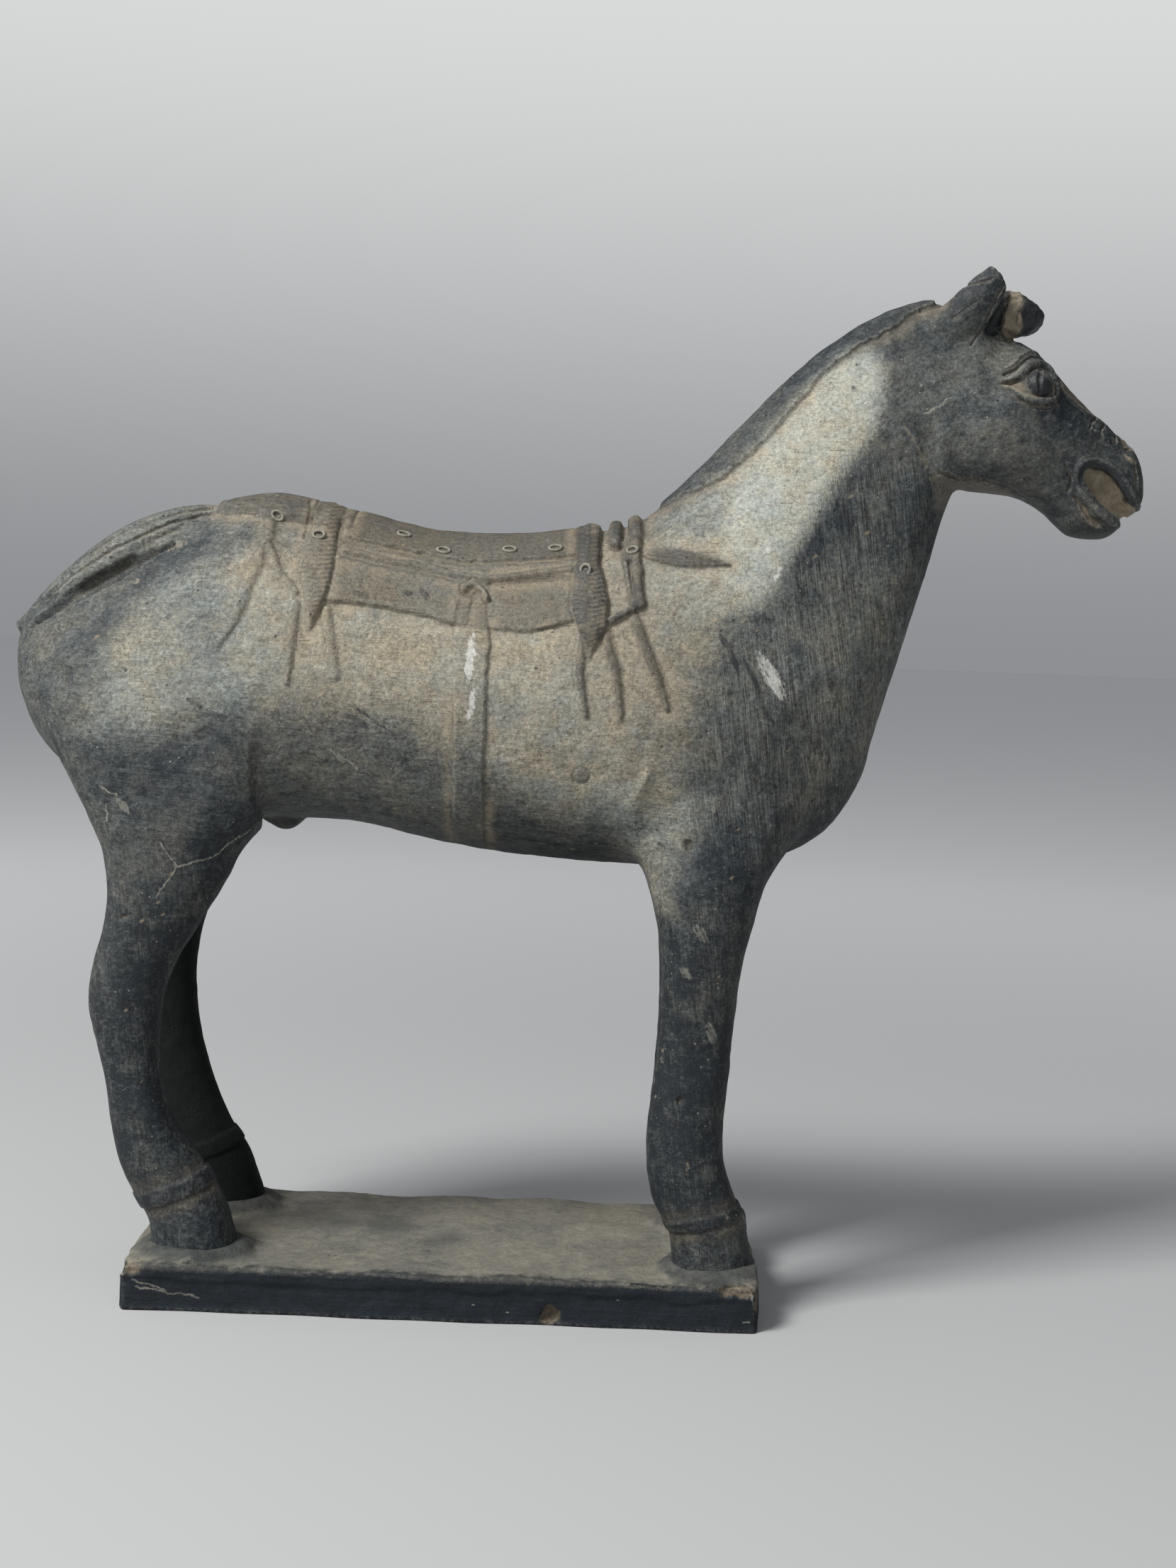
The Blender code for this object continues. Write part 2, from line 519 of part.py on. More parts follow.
def slab():
    """Hand-cut slab with softened, uneven edges and a flat underside."""
    bpy.ops.mesh.primitive_cube_add(size=1.0, location=(0.0, 0.0, 0.0))
    made = bpy.context.active_object
    made.name = "slab"
    mesh = made.data
    cutter = bmesh.new()
    cutter.from_mesh(mesh)
    bmesh.ops.scale(cutter, vec=(SLAB_LENGTH * MM, SLAB_DEPTH * MM, SLAB_THICK * MM), verts=cutter.verts)
    bmesh.ops.translate(cutter, vec=(0.0, 0.0, SLAB_THICK / 2 * MM), verts=cutter.verts)
    long_edges = [e for e in cutter.edges if abs(e.verts[0].co.x - e.verts[1].co.x) > SLAB_THICK * MM]
    bmesh.ops.subdivide_edges(cutter, edges=long_edges, cuts=11, use_grid_fill=True)
    cutter.to_mesh(mesh)
    cutter.free()
    points = np.empty(len(mesh.vertices) * 3)
    mesh.vertices.foreach_get("co", points)
    points = points.reshape(-1, 3) / MM
    x, y, z = points.copy().T
    upper = z > SLAB_THICK / 2
    points[:, 1] += np.sign(y) * SLAB_WAVE * wave(x, y, np.where(upper, 0.6, 2.1))
    points[:, 0] += np.sign(x) * SLAB_WAVE * wave(y, x, 1.3) * (np.abs(x) > SLAB_LENGTH / 2 - 1)
    points[:, 2] += np.where(upper, SLAB_WAVE * wave(x, y, 0.0), 0.0)
    mesh.vertices.foreach_set("co", (points * MM).ravel())
    bevel = made.modifiers.new("Worn edges", "BEVEL")
    bevel.width = SLAB_EDGE_ROUND * MM
    bevel.segments = 2
    bevel.limit_method = "ANGLE"
    bevel.angle_limit = math.radians(50)
    made_mesh = evaluated_copy(made, "slab_cut")
    bpy.data.objects.remove(made, do_unlink=True)
    return made_mesh


def thin_out(source, name, triangles):
    """Copy of a dense skin with about so many triangles."""
    reducer = source.modifiers.new("Thin out", "DECIMATE")
    source.data.calc_loop_triangles()
    reducer.ratio = triangles / len(source.data.loop_triangles)
    made = evaluated_copy(source, name)
    bpy.data.objects.remove(source, do_unlink=True)
    return made


def clay():
    """Fired grey clay."""
    made = bpy.data.materials.new("Fired grey clay")
    made.use_nodes = True
    shader = made.node_tree.nodes["Principled BSDF"]
    shader.inputs["Base Color"].default_value = CLAY_COLOUR
    shader.inputs["Roughness"].default_value = CLAY_ROUGHNESS
    shader.inputs["Metallic"].default_value = 0.0
    return made


def horse_skin():
    """Dense skin of the horse, its harness and face worked."""
    big = [barrel_and_neck(), head()]
    for side in (NEAR, FAR):
        far = side == FAR
        big.append(hind_leg(side, 8.0 if far else 0.0, 4.0 if far else 0.0))
        big.append(fore_leg(side, 2.5 if far else 0.0))
        big.append(ear(side))
    body = blend_the_limbs(fuse("body", big, VOXEL_BIG, SOFTENING_BIG))
    skin = mathutils.bvhtree.BVHTree.FromObject(body, bpy.context.evaluated_depsgraph_get())
    small = [body, forelock(), sheath(), tail()]
    for side in (NEAR, FAR):
        small += [ear(side)] + eye(skin, side)
    horse = fuse("horse", small, VOXEL_FINE, SOFTENING_FINE)
    work_the_skin(horse)
    return horse


def clear_the_scene():
    """Empty scene with the object's own collection."""
    for old in list(bpy.data.objects):
        bpy.data.objects.remove(old, do_unlink=True)
    parts = bpy.data.collections.new(COLLECTION)
    bpy.context.scene.collection.children.link(parts)


def main():
    """Build the whole piece."""
    clear_the_scene()
    horse = thin_out(horse_skin(), NODE, HORSE_TRIANGLES)
    ground = slab()
    union = horse.modifiers.new("Luted to the slab", "BOOLEAN")
    union.operation = "UNION"
    union.solver = "EXACT"
    union.object = ground
    whole = evaluated_copy(horse, NODE + "_whole")
    bpy.data.objects.remove(horse, do_unlink=True)
    bpy.data.objects.remove(ground, do_unlink=True)
    whole.name = NODE
    whole.data.name = NODE
    whole.data.materials.clear()
    whole.data.materials.append(clay())
    whole.data.shade_smooth()
    whole.data.set_sharp_from_angle(angle=math.radians(45))


if __name__ == "__main__":
    main()
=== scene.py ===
"""Tomb horse of smoked grey clay: its skin, its worn harness and its rubbed patina.

Lengths are millimetres, and become metres when a mesh is made. The horse faces +X, its near
side looks to -Y, and the origin is the middle of the slab's underside.
"""
import logging
import math
from collections.abc import Iterable, Sequence
from dataclasses import dataclass, field, replace
from enum import Enum
from functools import reduce
from typing import Any

import bpy
import numpy as np
from mathutils import Matrix, Vector
from mathutils.bvhtree import BVHTree


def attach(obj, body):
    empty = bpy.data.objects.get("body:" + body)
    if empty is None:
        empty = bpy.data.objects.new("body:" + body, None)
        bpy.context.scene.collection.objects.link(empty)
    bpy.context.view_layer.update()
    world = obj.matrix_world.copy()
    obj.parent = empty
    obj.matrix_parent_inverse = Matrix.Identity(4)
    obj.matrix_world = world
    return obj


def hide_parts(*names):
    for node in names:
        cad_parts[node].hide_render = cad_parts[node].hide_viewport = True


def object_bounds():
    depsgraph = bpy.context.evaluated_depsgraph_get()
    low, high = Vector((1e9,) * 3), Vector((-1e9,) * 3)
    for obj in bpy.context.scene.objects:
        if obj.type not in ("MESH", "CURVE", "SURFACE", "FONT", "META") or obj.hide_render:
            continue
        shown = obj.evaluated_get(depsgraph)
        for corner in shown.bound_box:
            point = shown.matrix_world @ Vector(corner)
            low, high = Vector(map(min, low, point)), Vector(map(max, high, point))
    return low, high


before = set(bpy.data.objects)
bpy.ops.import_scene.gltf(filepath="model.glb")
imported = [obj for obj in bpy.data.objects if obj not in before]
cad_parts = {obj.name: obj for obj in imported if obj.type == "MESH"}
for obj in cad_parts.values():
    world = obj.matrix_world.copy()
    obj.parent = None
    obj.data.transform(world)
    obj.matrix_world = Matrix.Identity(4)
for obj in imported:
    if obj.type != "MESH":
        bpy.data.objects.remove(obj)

CAD_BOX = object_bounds()
MM = 0.001
NODE = "tomb_horse"
BODY = "root"
CAST_FROM = 0.2

Array = np.ndarray
Piece = bpy.types.Object
Socket = bpy.types.NodeSocket
Rows = Sequence[Sequence[float]]
log = logging.getLogger("tomb_horse")


class Side(Enum):
    """The two sides of the horse, by the sign of Y."""

    NEAR = -1
    FAR = 1


class Way(Enum):
    """What a worked mark does to the skin."""

    LAID_ON = "laid on"
    SWELLS = "swells"
    SUNK = "sunk"


class View(Enum):
    """Which way a drawn mark is looked at."""

    SIDE = "side"
    PLAN = "plan"


def smooth_step(low: float, high: float, values: Array) -> Array:
    """Turn smoothly from 0 at low to 1 at high.

    Args:
        low: Where the turn starts.
        high: Where it ends.
        values: Numbers to turn.

    Returns:
        t * t * (3 - 2 t), with t the way from low to high, held between 0 and 1.
    """
    t = np.clip((values - low) / (high - low), 0.0, 1.0)
    return t * t * (3 - 2 * t)


def smooth_rows(rows: Rows, per_span: int) -> Array:
    """Read rows of numbers along a Catmull-Rom curve through them.

    Args:
        rows: The given rows.
        per_span: Rows to read for each span between two given ones.

    Returns:
        The denser rows, the last given row included.
    """
    given = np.asarray(rows, dtype=float)
    padded = np.vstack([2 * given[0] - given[1], given, 2 * given[-1] - given[-2]])
    t = (np.arange(per_span) / per_span)[None, :, None]
    a, b, c, d = (padded[i:len(given) - 1 + i][:, None, :] for i in range(4))
    curve = 0.5 * (2 * b + (c - a) * t + (2 * a - 5 * b + 4 * c - d) * t ** 2
                   + (3 * b - a - 3 * c + d) * t ** 3)
    return np.vstack([curve.reshape(-1, given.shape[1]), given[-1]])


def lumps(points: Array, size: float, seed: int) -> Array:
    """Smooth noise in space, the same on every run.

    Each corner of a lattice gets a number from a hash of its place, and a point takes the smooth
    blend of the eight corners around it.

    Args:
        points: Places, one row each.
        size: Spacing of the lattice.
        seed: Which noise.

    Returns:
        One number between -1 and 1 for each place.
    """
    cell = points / size + 1000.0
    base = np.floor(cell).astype(np.int64)
    part = cell - base
    part = part * part * (3 - 2 * part)
    total = np.zeros(len(points))
    for corner in range(8):
        step = np.array([corner & 1, (corner >> 1) & 1, corner >> 2])
        place = base + step
        code = place[:, 0] * 73856093 ^ place[:, 1] * 19349663 ^ place[:, 2] * 83492791 ^ seed * 9176213
        code = (code ^ (code >> 13)) * 60493 & 0xFFFFFF
        share = np.prod(np.where(step == 1, part, 1 - part), axis=1)
        total += share * (code / 0x7FFFFF - 1.0)
    return total


def once_round(count: int) -> Array:
    """Angles of points spread evenly around a circle."""
    return np.linspace(0.0, 2 * math.pi, count, endpoint=False)


def unit(vectors: Array) -> Array:
    """Vectors of length 1 that point the same ways."""
    return vectors / np.linalg.norm(vectors, axis=-1, keepdims=True)


def summed(index: Array, rows: Array, count: int) -> Array:
    """Sum of the rows of three numbers that fall on each index."""
    return np.stack([np.bincount(index, rows[:, k], count) for k in range(3)], axis=1)


def bands(low: Array, high: Array, around: int) -> Array:
    """Quads of the bands between pairs of rings.

    Args:
        low: Number of each band's first ring.
        high: Number of its second ring.
        around: Points in a ring.
    """
    step = np.arange(around)
    after = (step + 1) % around
    low, high = low[:, None] * around, high[:, None] * around
    return np.stack([low + step, low + after, high + after, high + step], axis=-1).reshape(-1, 4)


def placed(name: str, data: bpy.types.ID) -> Piece:
    """Stand a new object in the scene, made of a mesh, a lamp or a camera."""
    made = bpy.data.objects.new(name, data)
    bpy.context.scene.collection.objects.link(made)
    return made


@dataclass
class Shell:
    """Points in millimetres with the quads and triangles over them."""

    points: Array
    quads: Array
    tris: Array = field(default_factory=lambda: np.zeros((0, 3), dtype=int))

    @classmethod
    def rings(cls, grid: Array) -> "Shell":
        """Close a grid of rings, with a fan to a pole at each end.

        Args:
            grid: Points as (rings, points around, 3).

        Returns:
            The shell, its faces outward.
        """
        rings, around = grid.shape[:2]
        level, step = np.arange(rings - 1), np.arange(around)
        after = (step + 1) % around
        poles = np.stack([grid[0].mean(axis=0), grid[-1].mean(axis=0)])
        start = rings * around
        last = start - around
        first_fan = np.stack([np.full(around, start), after, step], axis=-1)
        last_fan = np.stack([np.full(around, start + 1), last + step, last + after], axis=-1)
        return cls(np.vstack([grid.reshape(-1, 3), poles]), bands(level, level + 1, around),
                   np.vstack([first_fan, last_fan])).outward()

    @classmethod
    def hoop(cls, grid: Array) -> "Shell":
        """Close a grid both ways, as a torus is.

        Args:
            grid: Points as (around the hoop, around its wire, 3).

        Returns:
            The shell, its faces outward.
        """
        long, around = grid.shape[:2]
        ring = np.arange(long)
        return cls(grid.reshape(-1, 3), bands(ring, (ring + 1) % long, around)).outward()

    @classmethod
    def joined(cls, shells: Iterable["Shell"]) -> "Shell":
        """Put several shells into one list of points and faces."""
        points, quads, tris, count = [], [], [], 0
        for shell in shells:
            points.append(shell.points)
            quads.append(shell.quads + count)
            tris.append(shell.tris + count)
            count += len(shell.points)
        return cls(np.vstack(points), np.vstack(quads), np.vstack(tris))

    def outward(self) -> "Shell":
        """Turn the faces over if the volume they enclose comes out negative."""
        corners = np.vstack([self.tris, self.quads[:, :3], self.quads[:, [0, 2, 3]]])
        a, b, c = (self.points[corners[:, k]] for k in range(3))
        if np.einsum("ij,ij->", a, np.cross(b, c)) < 0:
            return Shell(self.points, self.quads[:, ::-1], self.tris[:, ::-1])
        return self

    def made(self, name: str) -> Piece:
        """Make a Blender object of the shell.

        Args:
            name: The object's name.

        Returns:
            The object, at the origin and shaded smooth.
        """
        mesh = bpy.data.meshes.new(name)
        mesh.from_pydata((self.points * MM).tolist(), [], self.quads.tolist() + self.tris.tolist())
        mesh.update()
        mesh.shade_smooth()
        return placed(name, mesh)


def pulled(rows: Any, key: str, width: int, kind: type = float) -> Array:
    """Read one property of a Blender collection into an array.

    Args:
        rows: The collection.
        key: The property's name.
        width: Numbers in each item.
        kind: Type of the numbers.

    Returns:
        The values, one row for each item.
    """
    values = np.empty(len(rows) * width, dtype=kind)
    rows.foreach_get(key, values)
    return values.reshape(-1, width)


def shape(piece: Piece, kind: str, **settings: Any) -> None:
    """Add a modifier of a kind to a piece, with its settings."""
    modifier = piece.modifiers.new(kind, kind)
    for key, value in settings.items():
        setattr(modifier, key, value)


def thinned(shell: Shell, name: str, triangles: int) -> Piece:
    """Make an object of a dense shell, with at most about so many triangles.

    Args:
        shell: The dense shell.
        name: The object's name.
        triangles: How many triangles to leave.

    Returns:
        The object, shaded smooth.
    """
    dense = shell.made(name + "_dense")
    shape(dense, "DECIMATE", ratio=min(1.0, triangles / (2 * len(shell.quads) + len(shell.tris))))
    made = settled(dense, name)
    made.data.shade_smooth()
    return made


def settled(piece: Piece, name: str) -> Piece:
    """Apply a piece's modifiers.

    Args:
        piece: Object with modifiers, which is removed.
        name: Name of the new object.

    Returns:
        New object with the finished mesh.
    """
    graph = bpy.context.evaluated_depsgraph_get()
    mesh = bpy.data.meshes.new_from_object(piece.evaluated_get(graph))
    bpy.data.objects.remove(piece, do_unlink=True)
    mesh.name = name
    return placed(name, mesh)


@dataclass(frozen=True)
class Cut:
    """Plane across the horse that two pieces meet at: a place on it and the way it faces."""

    x: float
    z: float
    way: tuple[float, float]

    def ahead(self, points: Array) -> Array:
        """How far ahead of the plane each point lies."""
        return (points[:, 0] - self.x) * self.way[0] + (points[:, 2] - self.z) * self.way[1]


@dataclass
class Skin:
    """Dense clay skin: its points in millimetres, its edges and its quads."""

    points: Array
    edges: Array
    quads: Array

    @classmethod
    def wrapped(cls, shells: Iterable[Shell], voxel: float, knives: Iterable[Shell] = ()) -> "Skin":
        """Draw one skin around overlapping shells by a voxel remesh, and again once it is cut.

        Args:
            shells: Closed shells that overlap.
            voxel: Size of the voxels.
            knives: Closed shells to cut away.

        Returns:
            The skin.
        """
        rough = Shell.joined(shells).made("rough")
        held = [knife.made("knife") for knife in knives]
        shape(rough, "REMESH", mode="VOXEL", voxel_size=voxel * MM)
        for knife in held:
            shape(rough, "BOOLEAN", object=knife, solver="MANIFOLD")
        if held:
            shape(rough, "REMESH", mode="VOXEL", voxel_size=voxel * MM)
        skin = cls.read(settled(rough, "wrapped"))
        for knife in held:
            bpy.data.objects.remove(knife, do_unlink=True)
        return skin

    @classmethod
    def read(cls, piece: Piece) -> "Skin":
        """Take the skin off an object of quads, which is removed."""
        mesh = piece.data
        skin = cls(pulled(mesh.vertices, "co", 3) / MM, pulled(mesh.edges, "vertices", 2, np.int32),
                   pulled(mesh.loops, "vertex_index", 1, np.int32).reshape(-1, 4))
        bpy.data.objects.remove(piece, do_unlink=True)
        return skin

    def relax(self, steps: int, weight: Array | float = 1.0) -> None:
        """Smooth the skin.

        In each step every point moves a quarter of the way to the mean of its neighbours.

        Args:
            steps: How many steps.
            weight: Share of the move for each point.
        """
        count = len(self.points)
        low, high = self.edges.T
        degree = np.bincount(self.edges.ravel(), minlength=count)[:, None]
        share = 0.25 * np.broadcast_to(np.asarray(weight, dtype=float), count)[:, None] / degree
        for _ in range(steps):
            total = summed(low, self.points[high], count) + summed(high, self.points[low], count)
            self.points += share * (total - degree * self.points)

    def normals(self) -> Array:
        """Unit normal of each point, from the cross products of its quads' diagonals."""
        corners = self.points[self.quads]
        face = np.cross(corners[:, 2] - corners[:, 0], corners[:, 3] - corners[:, 1])
        total = np.zeros_like(self.points)
        for corner in range(4):
            total += summed(self.quads[:, corner], face, len(total))
        return unit(total)

    def part(self, normals: Array, behind: Cut | None, ahead: Cut | None, overlap: float,
             sink: float) -> Shell:
        """Take the closed stretch between two cuts.

        It runs on past each cut for the overlap, where it sinks under the next stretch by the
        smooth step of how far past the cut it is, and a fan to the middle of the loop closes it.

        Args:
            normals: The skin's normals.
            behind: The cut at its rear.
            ahead: The cut at its front.
            overlap: How far it runs on.
            sink: How deep it has sunk there.

        Returns:
            The stretch.
        """
        ways = [way for way in ((behind, 1), (ahead, -1)) if way[0]]
        inside = [sign * cut.ahead(self.points) for cut, sign in ways]
        within = np.minimum.reduce(inside)
        quads = self.quads[(within[self.quads] > -overlap).all(axis=1)]
        points = self.points - normals * (sink * smooth_step(0.0, overlap, -within))[:, None]
        start = quads.ravel()
        end = np.roll(quads, -1, axis=1).ravel()
        count = len(points)
        rim = ~np.isin(start * count + end, end * count + start)
        start, end = start[rim], end[rim]
        nearest = np.argmin(np.abs([side[start] + overlap for side in inside]), axis=0)
        tris = []
        for which in range(len(ways)):
            low, high = start[nearest == which], end[nearest == which]
            tris.append(np.stack([high, low, np.full(len(low), count + which)], axis=1))
            points = np.vstack([points, points[low].mean(axis=0)])
        tris = np.vstack(tris)
        used, index = np.unique(np.concatenate([quads.ravel(), tris.ravel()]), return_inverse=True)
        return Shell(points[used], index[:quads.size].reshape(-1, 4), index[quads.size:].reshape(-1, 3))


@dataclass(frozen=True)
class Loft:
    """Closed form through unlike rings.

    A station is (x, z of one edge, x, z of the other, y, half width). Each ring is a
    superellipse that spans its two edge points in side view and its half width across.
    square above 2 makes it fuller, and egg makes it narrower towards its first edge.
    """

    stations: Rows
    square: float = 2.0
    egg: float = 0.0
    around: int = 48
    per_span: int = 6

    def shifted(self, column: int, amounts: Sequence[float]) -> "Loft":
        """Move one column of the stations, by an amount for each station."""
        rows = np.asarray(self.stations, dtype=float)
        rows[:, column] += amounts
        return replace(self, stations=rows.tolist())

    def shell(self, side: Side | None = None) -> Shell:
        """Work the loft out.

        Args:
            side: Side that y and the form go to, or None for a form that is written out in full.

        Returns:
            The closed shell.
        """
        rows = smooth_rows(self.stations, self.per_span)
        angle = once_round(self.around)
        power = 2 / self.square
        up = np.sign(np.cos(angle)) * np.abs(np.cos(angle)) ** power
        across = np.sign(np.sin(angle)) * np.abs(np.sin(angle)) ** power * (1 - self.egg * up)
        middle = (rows[:, 0:2] + rows[:, 2:4]) / 2
        reach = (rows[:, 0:2] - rows[:, 2:4]) / 2
        flat = middle[:, None, :] + reach[:, None, :] * up[None, :, None]
        y = rows[:, 4:5] + rows[:, 5:6] * across[None, :]
        sign = side.value if side else 1
        return Shell.rings(np.stack([flat[..., 0], sign * y, flat[..., 1]], axis=-1))


@dataclass(frozen=True)
class Coil:
    """Round coil of clay laid on the skin, along rows of (x, z, radius)."""

    rows: Rows
    lift: float = 0.7
    around: int = 16
    per_span: int = 6

    def shell(self, skin: BVHTree, side: Side) -> Shell:
        """Lay the coil on one side of the skin.

        Each ring is a circle across the path's run.

        Args:
            skin: The skin to lay it on, in metres.
            side: Which side.

        Returns:
            The closed shell.
        """
        rows = [(x, side.value * (skin_level(skin, x, z, side) + self.lift), z, r) for x, z, r in self.rows]
        path = smooth_rows(rows, self.per_span)
        run = np.gradient(path[:, :3], axis=0)
        across = unit(np.cross(run, (0.0, 1.0, 0.0)))
        over = unit(np.cross(run, across))
        angle = once_round(self.around)[None, :, None]
        ring = across[:, None, :] * np.cos(angle) + over[:, None, :] * np.sin(angle)
        return Shell.rings(path[:, None, :3] + path[:, None, 3:4] * ring)


def struck(skin: BVHTree, x: float, z: float, side: Side) -> tuple[Vector | None, Vector | None]:
    """Where a ray from one side meets the skin, in metres, and the way the skin faces there."""
    start = Vector((x * MM, side.value * CAST_FROM, z * MM))
    return skin.ray_cast(start, Vector((0.0, -side.value, 0.0)))[:2]


def skin_level(skin: BVHTree, x: float, z: float, side: Side) -> float:
    """How far out from the middle plane one side of the skin lies at a place in side view."""
    return side.value * struck(skin, x, z, side)[0].y / MM


@dataclass(frozen=True)
class Ease:
    """Bound of a mark along one axis, where its share turns from none to full.

    Axis 1 is measured outward from the middle plane, so it holds for both sides.
    """

    axis: int
    none: float
    full: float

    def share(self, places: Array) -> Array:
        """How much of the mark stays at each place."""
        values = np.abs(places[:, 1]) if self.axis == 1 else places[:, self.axis]
        return smooth_step(self.none, self.full, values)


@dataclass(frozen=True)
class Mark:
    """A worked place in side view, as a band along a path or a patch inside an outline.

    Rows of three numbers are a path's x, z and half width, and rows of two are an outline's x
    and z. rise is how far the mark moves the skin, edge how wide its slope is, and crown how
    much of the rise a band's sides have lost. fade is where a patch that swells has sunk back,
    and ribs is the height of the fine ribs that run down and out over a band.
    """

    rows: Rows
    rise: float
    edge: float = 0.7
    way: Way = Way.LAID_ON
    crown: float = 0.0
    fade: float = 0.0
    harness: float = 0.0
    ribs: float = 0.0
    near_only: bool = False
    eases: tuple["Ease", ...] = ()

    def spans(self) -> Array:
        """Start and end rows of each straight stretch, an outline closed."""
        given = np.asarray(self.rows, dtype=float)
        if given.shape[1] == 2:
            given = np.column_stack([np.vstack([given, given[:1]]), np.zeros(len(given) + 1)])
        return np.stack([given[:-1], given[1:]], axis=1)

    def close_to(self, x: Array, z: Array, margin: float) -> Array:
        """Which places lie in the mark's box, widened by a margin."""
        rows = np.asarray(self.rows, dtype=float)
        half = rows[:, 2].max() if rows.shape[1] == 3 else 0.0
        low = rows[:, :2].min(axis=0) - half - margin
        high = rows[:, :2].max(axis=0) + half + margin
        return (x > low[0]) & (x < high[0]) & (z > low[1]) & (z < high[1])

    def within(self, x: Array, z: Array) -> tuple[Array, Array]:
        """Measure places against the mark's edge.

        Args:
            x: Places along the horse.
            z: Their heights.

        Returns:
            How far inside the edge each place lies, below zero outside it and uneven as hand
            work is, and how far across a band it lies, from 0 on its path to 1 at its edge.
        """
        best = np.full(len(x), np.inf)
        half = np.zeros(len(x))
        inside = np.zeros(len(x), dtype=bool)
        spans = self.spans()
        for start, end in spans:
            run = end[:2] - start[:2]
            along = np.clip(((x - start[0]) * run[0] + (z - start[1]) * run[1]) / (run @ run), 0.0, 1.0)
            away = np.hypot(x - start[0] - along * run[0], z - start[1] - along * run[1])
            nearer = away < best
            best = np.where(nearer, away, best)
            half = np.where(nearer, start[2] + along * (end[2] - start[2]), half)
            crossing = (start[1] > z) != (end[1] > z)
            slope = run[0] / (run[1] if run[1] else 1.0)
            inside ^= crossing & (x < slope * (z - start[1]) + start[0])
        shake = 0.34 * lumps(np.stack([x, np.zeros(len(x)), z], axis=1), 2.6, 21)
        if len(self.rows[0]) == 3:
            return half - best + shake, best / np.maximum(half, 1e-6)
        return np.where(inside, best, -best) + shake, np.zeros(len(x))

    def lift(self, places: Array) -> Array:
        """How far the mark moves the skin outward at each place.

        Args:
            places: Points of the skin.

        Returns:
            rise, times the smooth slope at the edge, the crown and the fade.
        """
        x, y, z = places.T
        out = np.zeros(len(x))
        close = self.close_to(x, z, self.edge + 1.0)
        if self.near_only:
            close &= y < 0
        inside, across = self.within(x[close], z[close])
        value = self.rise * smooth_step(-self.edge / 2, self.edge / 2, inside)
        value *= 1 - self.crown * np.minimum(across, 1.0) ** 2
        if self.ribs:
            wave = np.sin(4.2 * (z[close] - 1.5 * across) + 0.8 * np.sin(0.9 * x[close]))
            value += self.ribs * wave * smooth_step(0.0, 1.2, inside)
        if self.fade:
            value *= 1 - smooth_step(self.edge, self.fade, inside)
        for ease in self.eases:
            value *= ease.share(places[close])
        out[close] = value
        return out

    def foot(self, places: Array, width: float, away: float) -> Array:
        """How strongly something has settled along the outside of the mark's edge.

        Args:
            places: Points of the skin.
            width: Width of the line that it has settled in.
            away: How far outside the edge the line lies.

        Returns:
            exp(-t * t), with t the distance from the line over its width.
        """
        x, y, z = places.T
        out = np.zeros(len(x))
        close = self.close_to(x, z, away + 3 * width)
        if self.near_only:
            close &= y < 0
        inside, _ = self.within(x[close], z[close])
        out[close] = np.exp(-((inside + away) / width) ** 2)
        return out


@dataclass(frozen=True)
class Thumbed:
    """Soft oval swelling in side view, pressed out of the clay, or into it when below zero."""

    x: float
    z: float
    long: float
    short: float
    tilt: float
    rise: float
    from_middle: float = 3.0

    def lift(self, places: Array) -> Array:
        """How far it moves the skin outward.

        rise * exp(-r * r), with r the distance from its middle over its half length and half
        width, tilt being the degrees that its length rises by towards +X.
        """
        turn = math.radians(self.tilt)
        dx, dz = places[:, 0] - self.x, places[:, 2] - self.z
        along = (dx * math.cos(turn) + dz * math.sin(turn)) / self.long
        beside = (dz * math.cos(turn) - dx * math.sin(turn)) / self.short
        side = smooth_step(self.from_middle, self.from_middle + 5.0, np.abs(places[:, 1]))
        return self.rise * side * np.exp(-along ** 2 - beside ** 2)


HIGH = 300.0
OUTER = (Ease(1, 4.0, 7.0),)
NOSTRIL = (Ease(1, 4.5, 6),)
EAR = (Ease(1, 8, 10),)
MUZZLE = ((223.7, 308.8), (226.4, 310.5), (230.6, 305.5), (228.9, 303.4), (226.4, 303.8), (224.9, 305.5))
CHIN = ((208.5, 285.7, 0.4), (211.1, 282.6, 0.9), (213.8, 278.9, 1.1), (217.1, 276.9, 0.6))


def dent(rows: Rows, depth: float, edge: float, eases: tuple[Ease, ...] = OUTER,
         near_only: bool = False) -> Mark:
    """Line or pit pressed into the clay, away from the middle plane unless eases says otherwise."""
    return Mark(rows, depth, edge=edge, way=Way.SUNK, near_only=near_only, eases=eases)


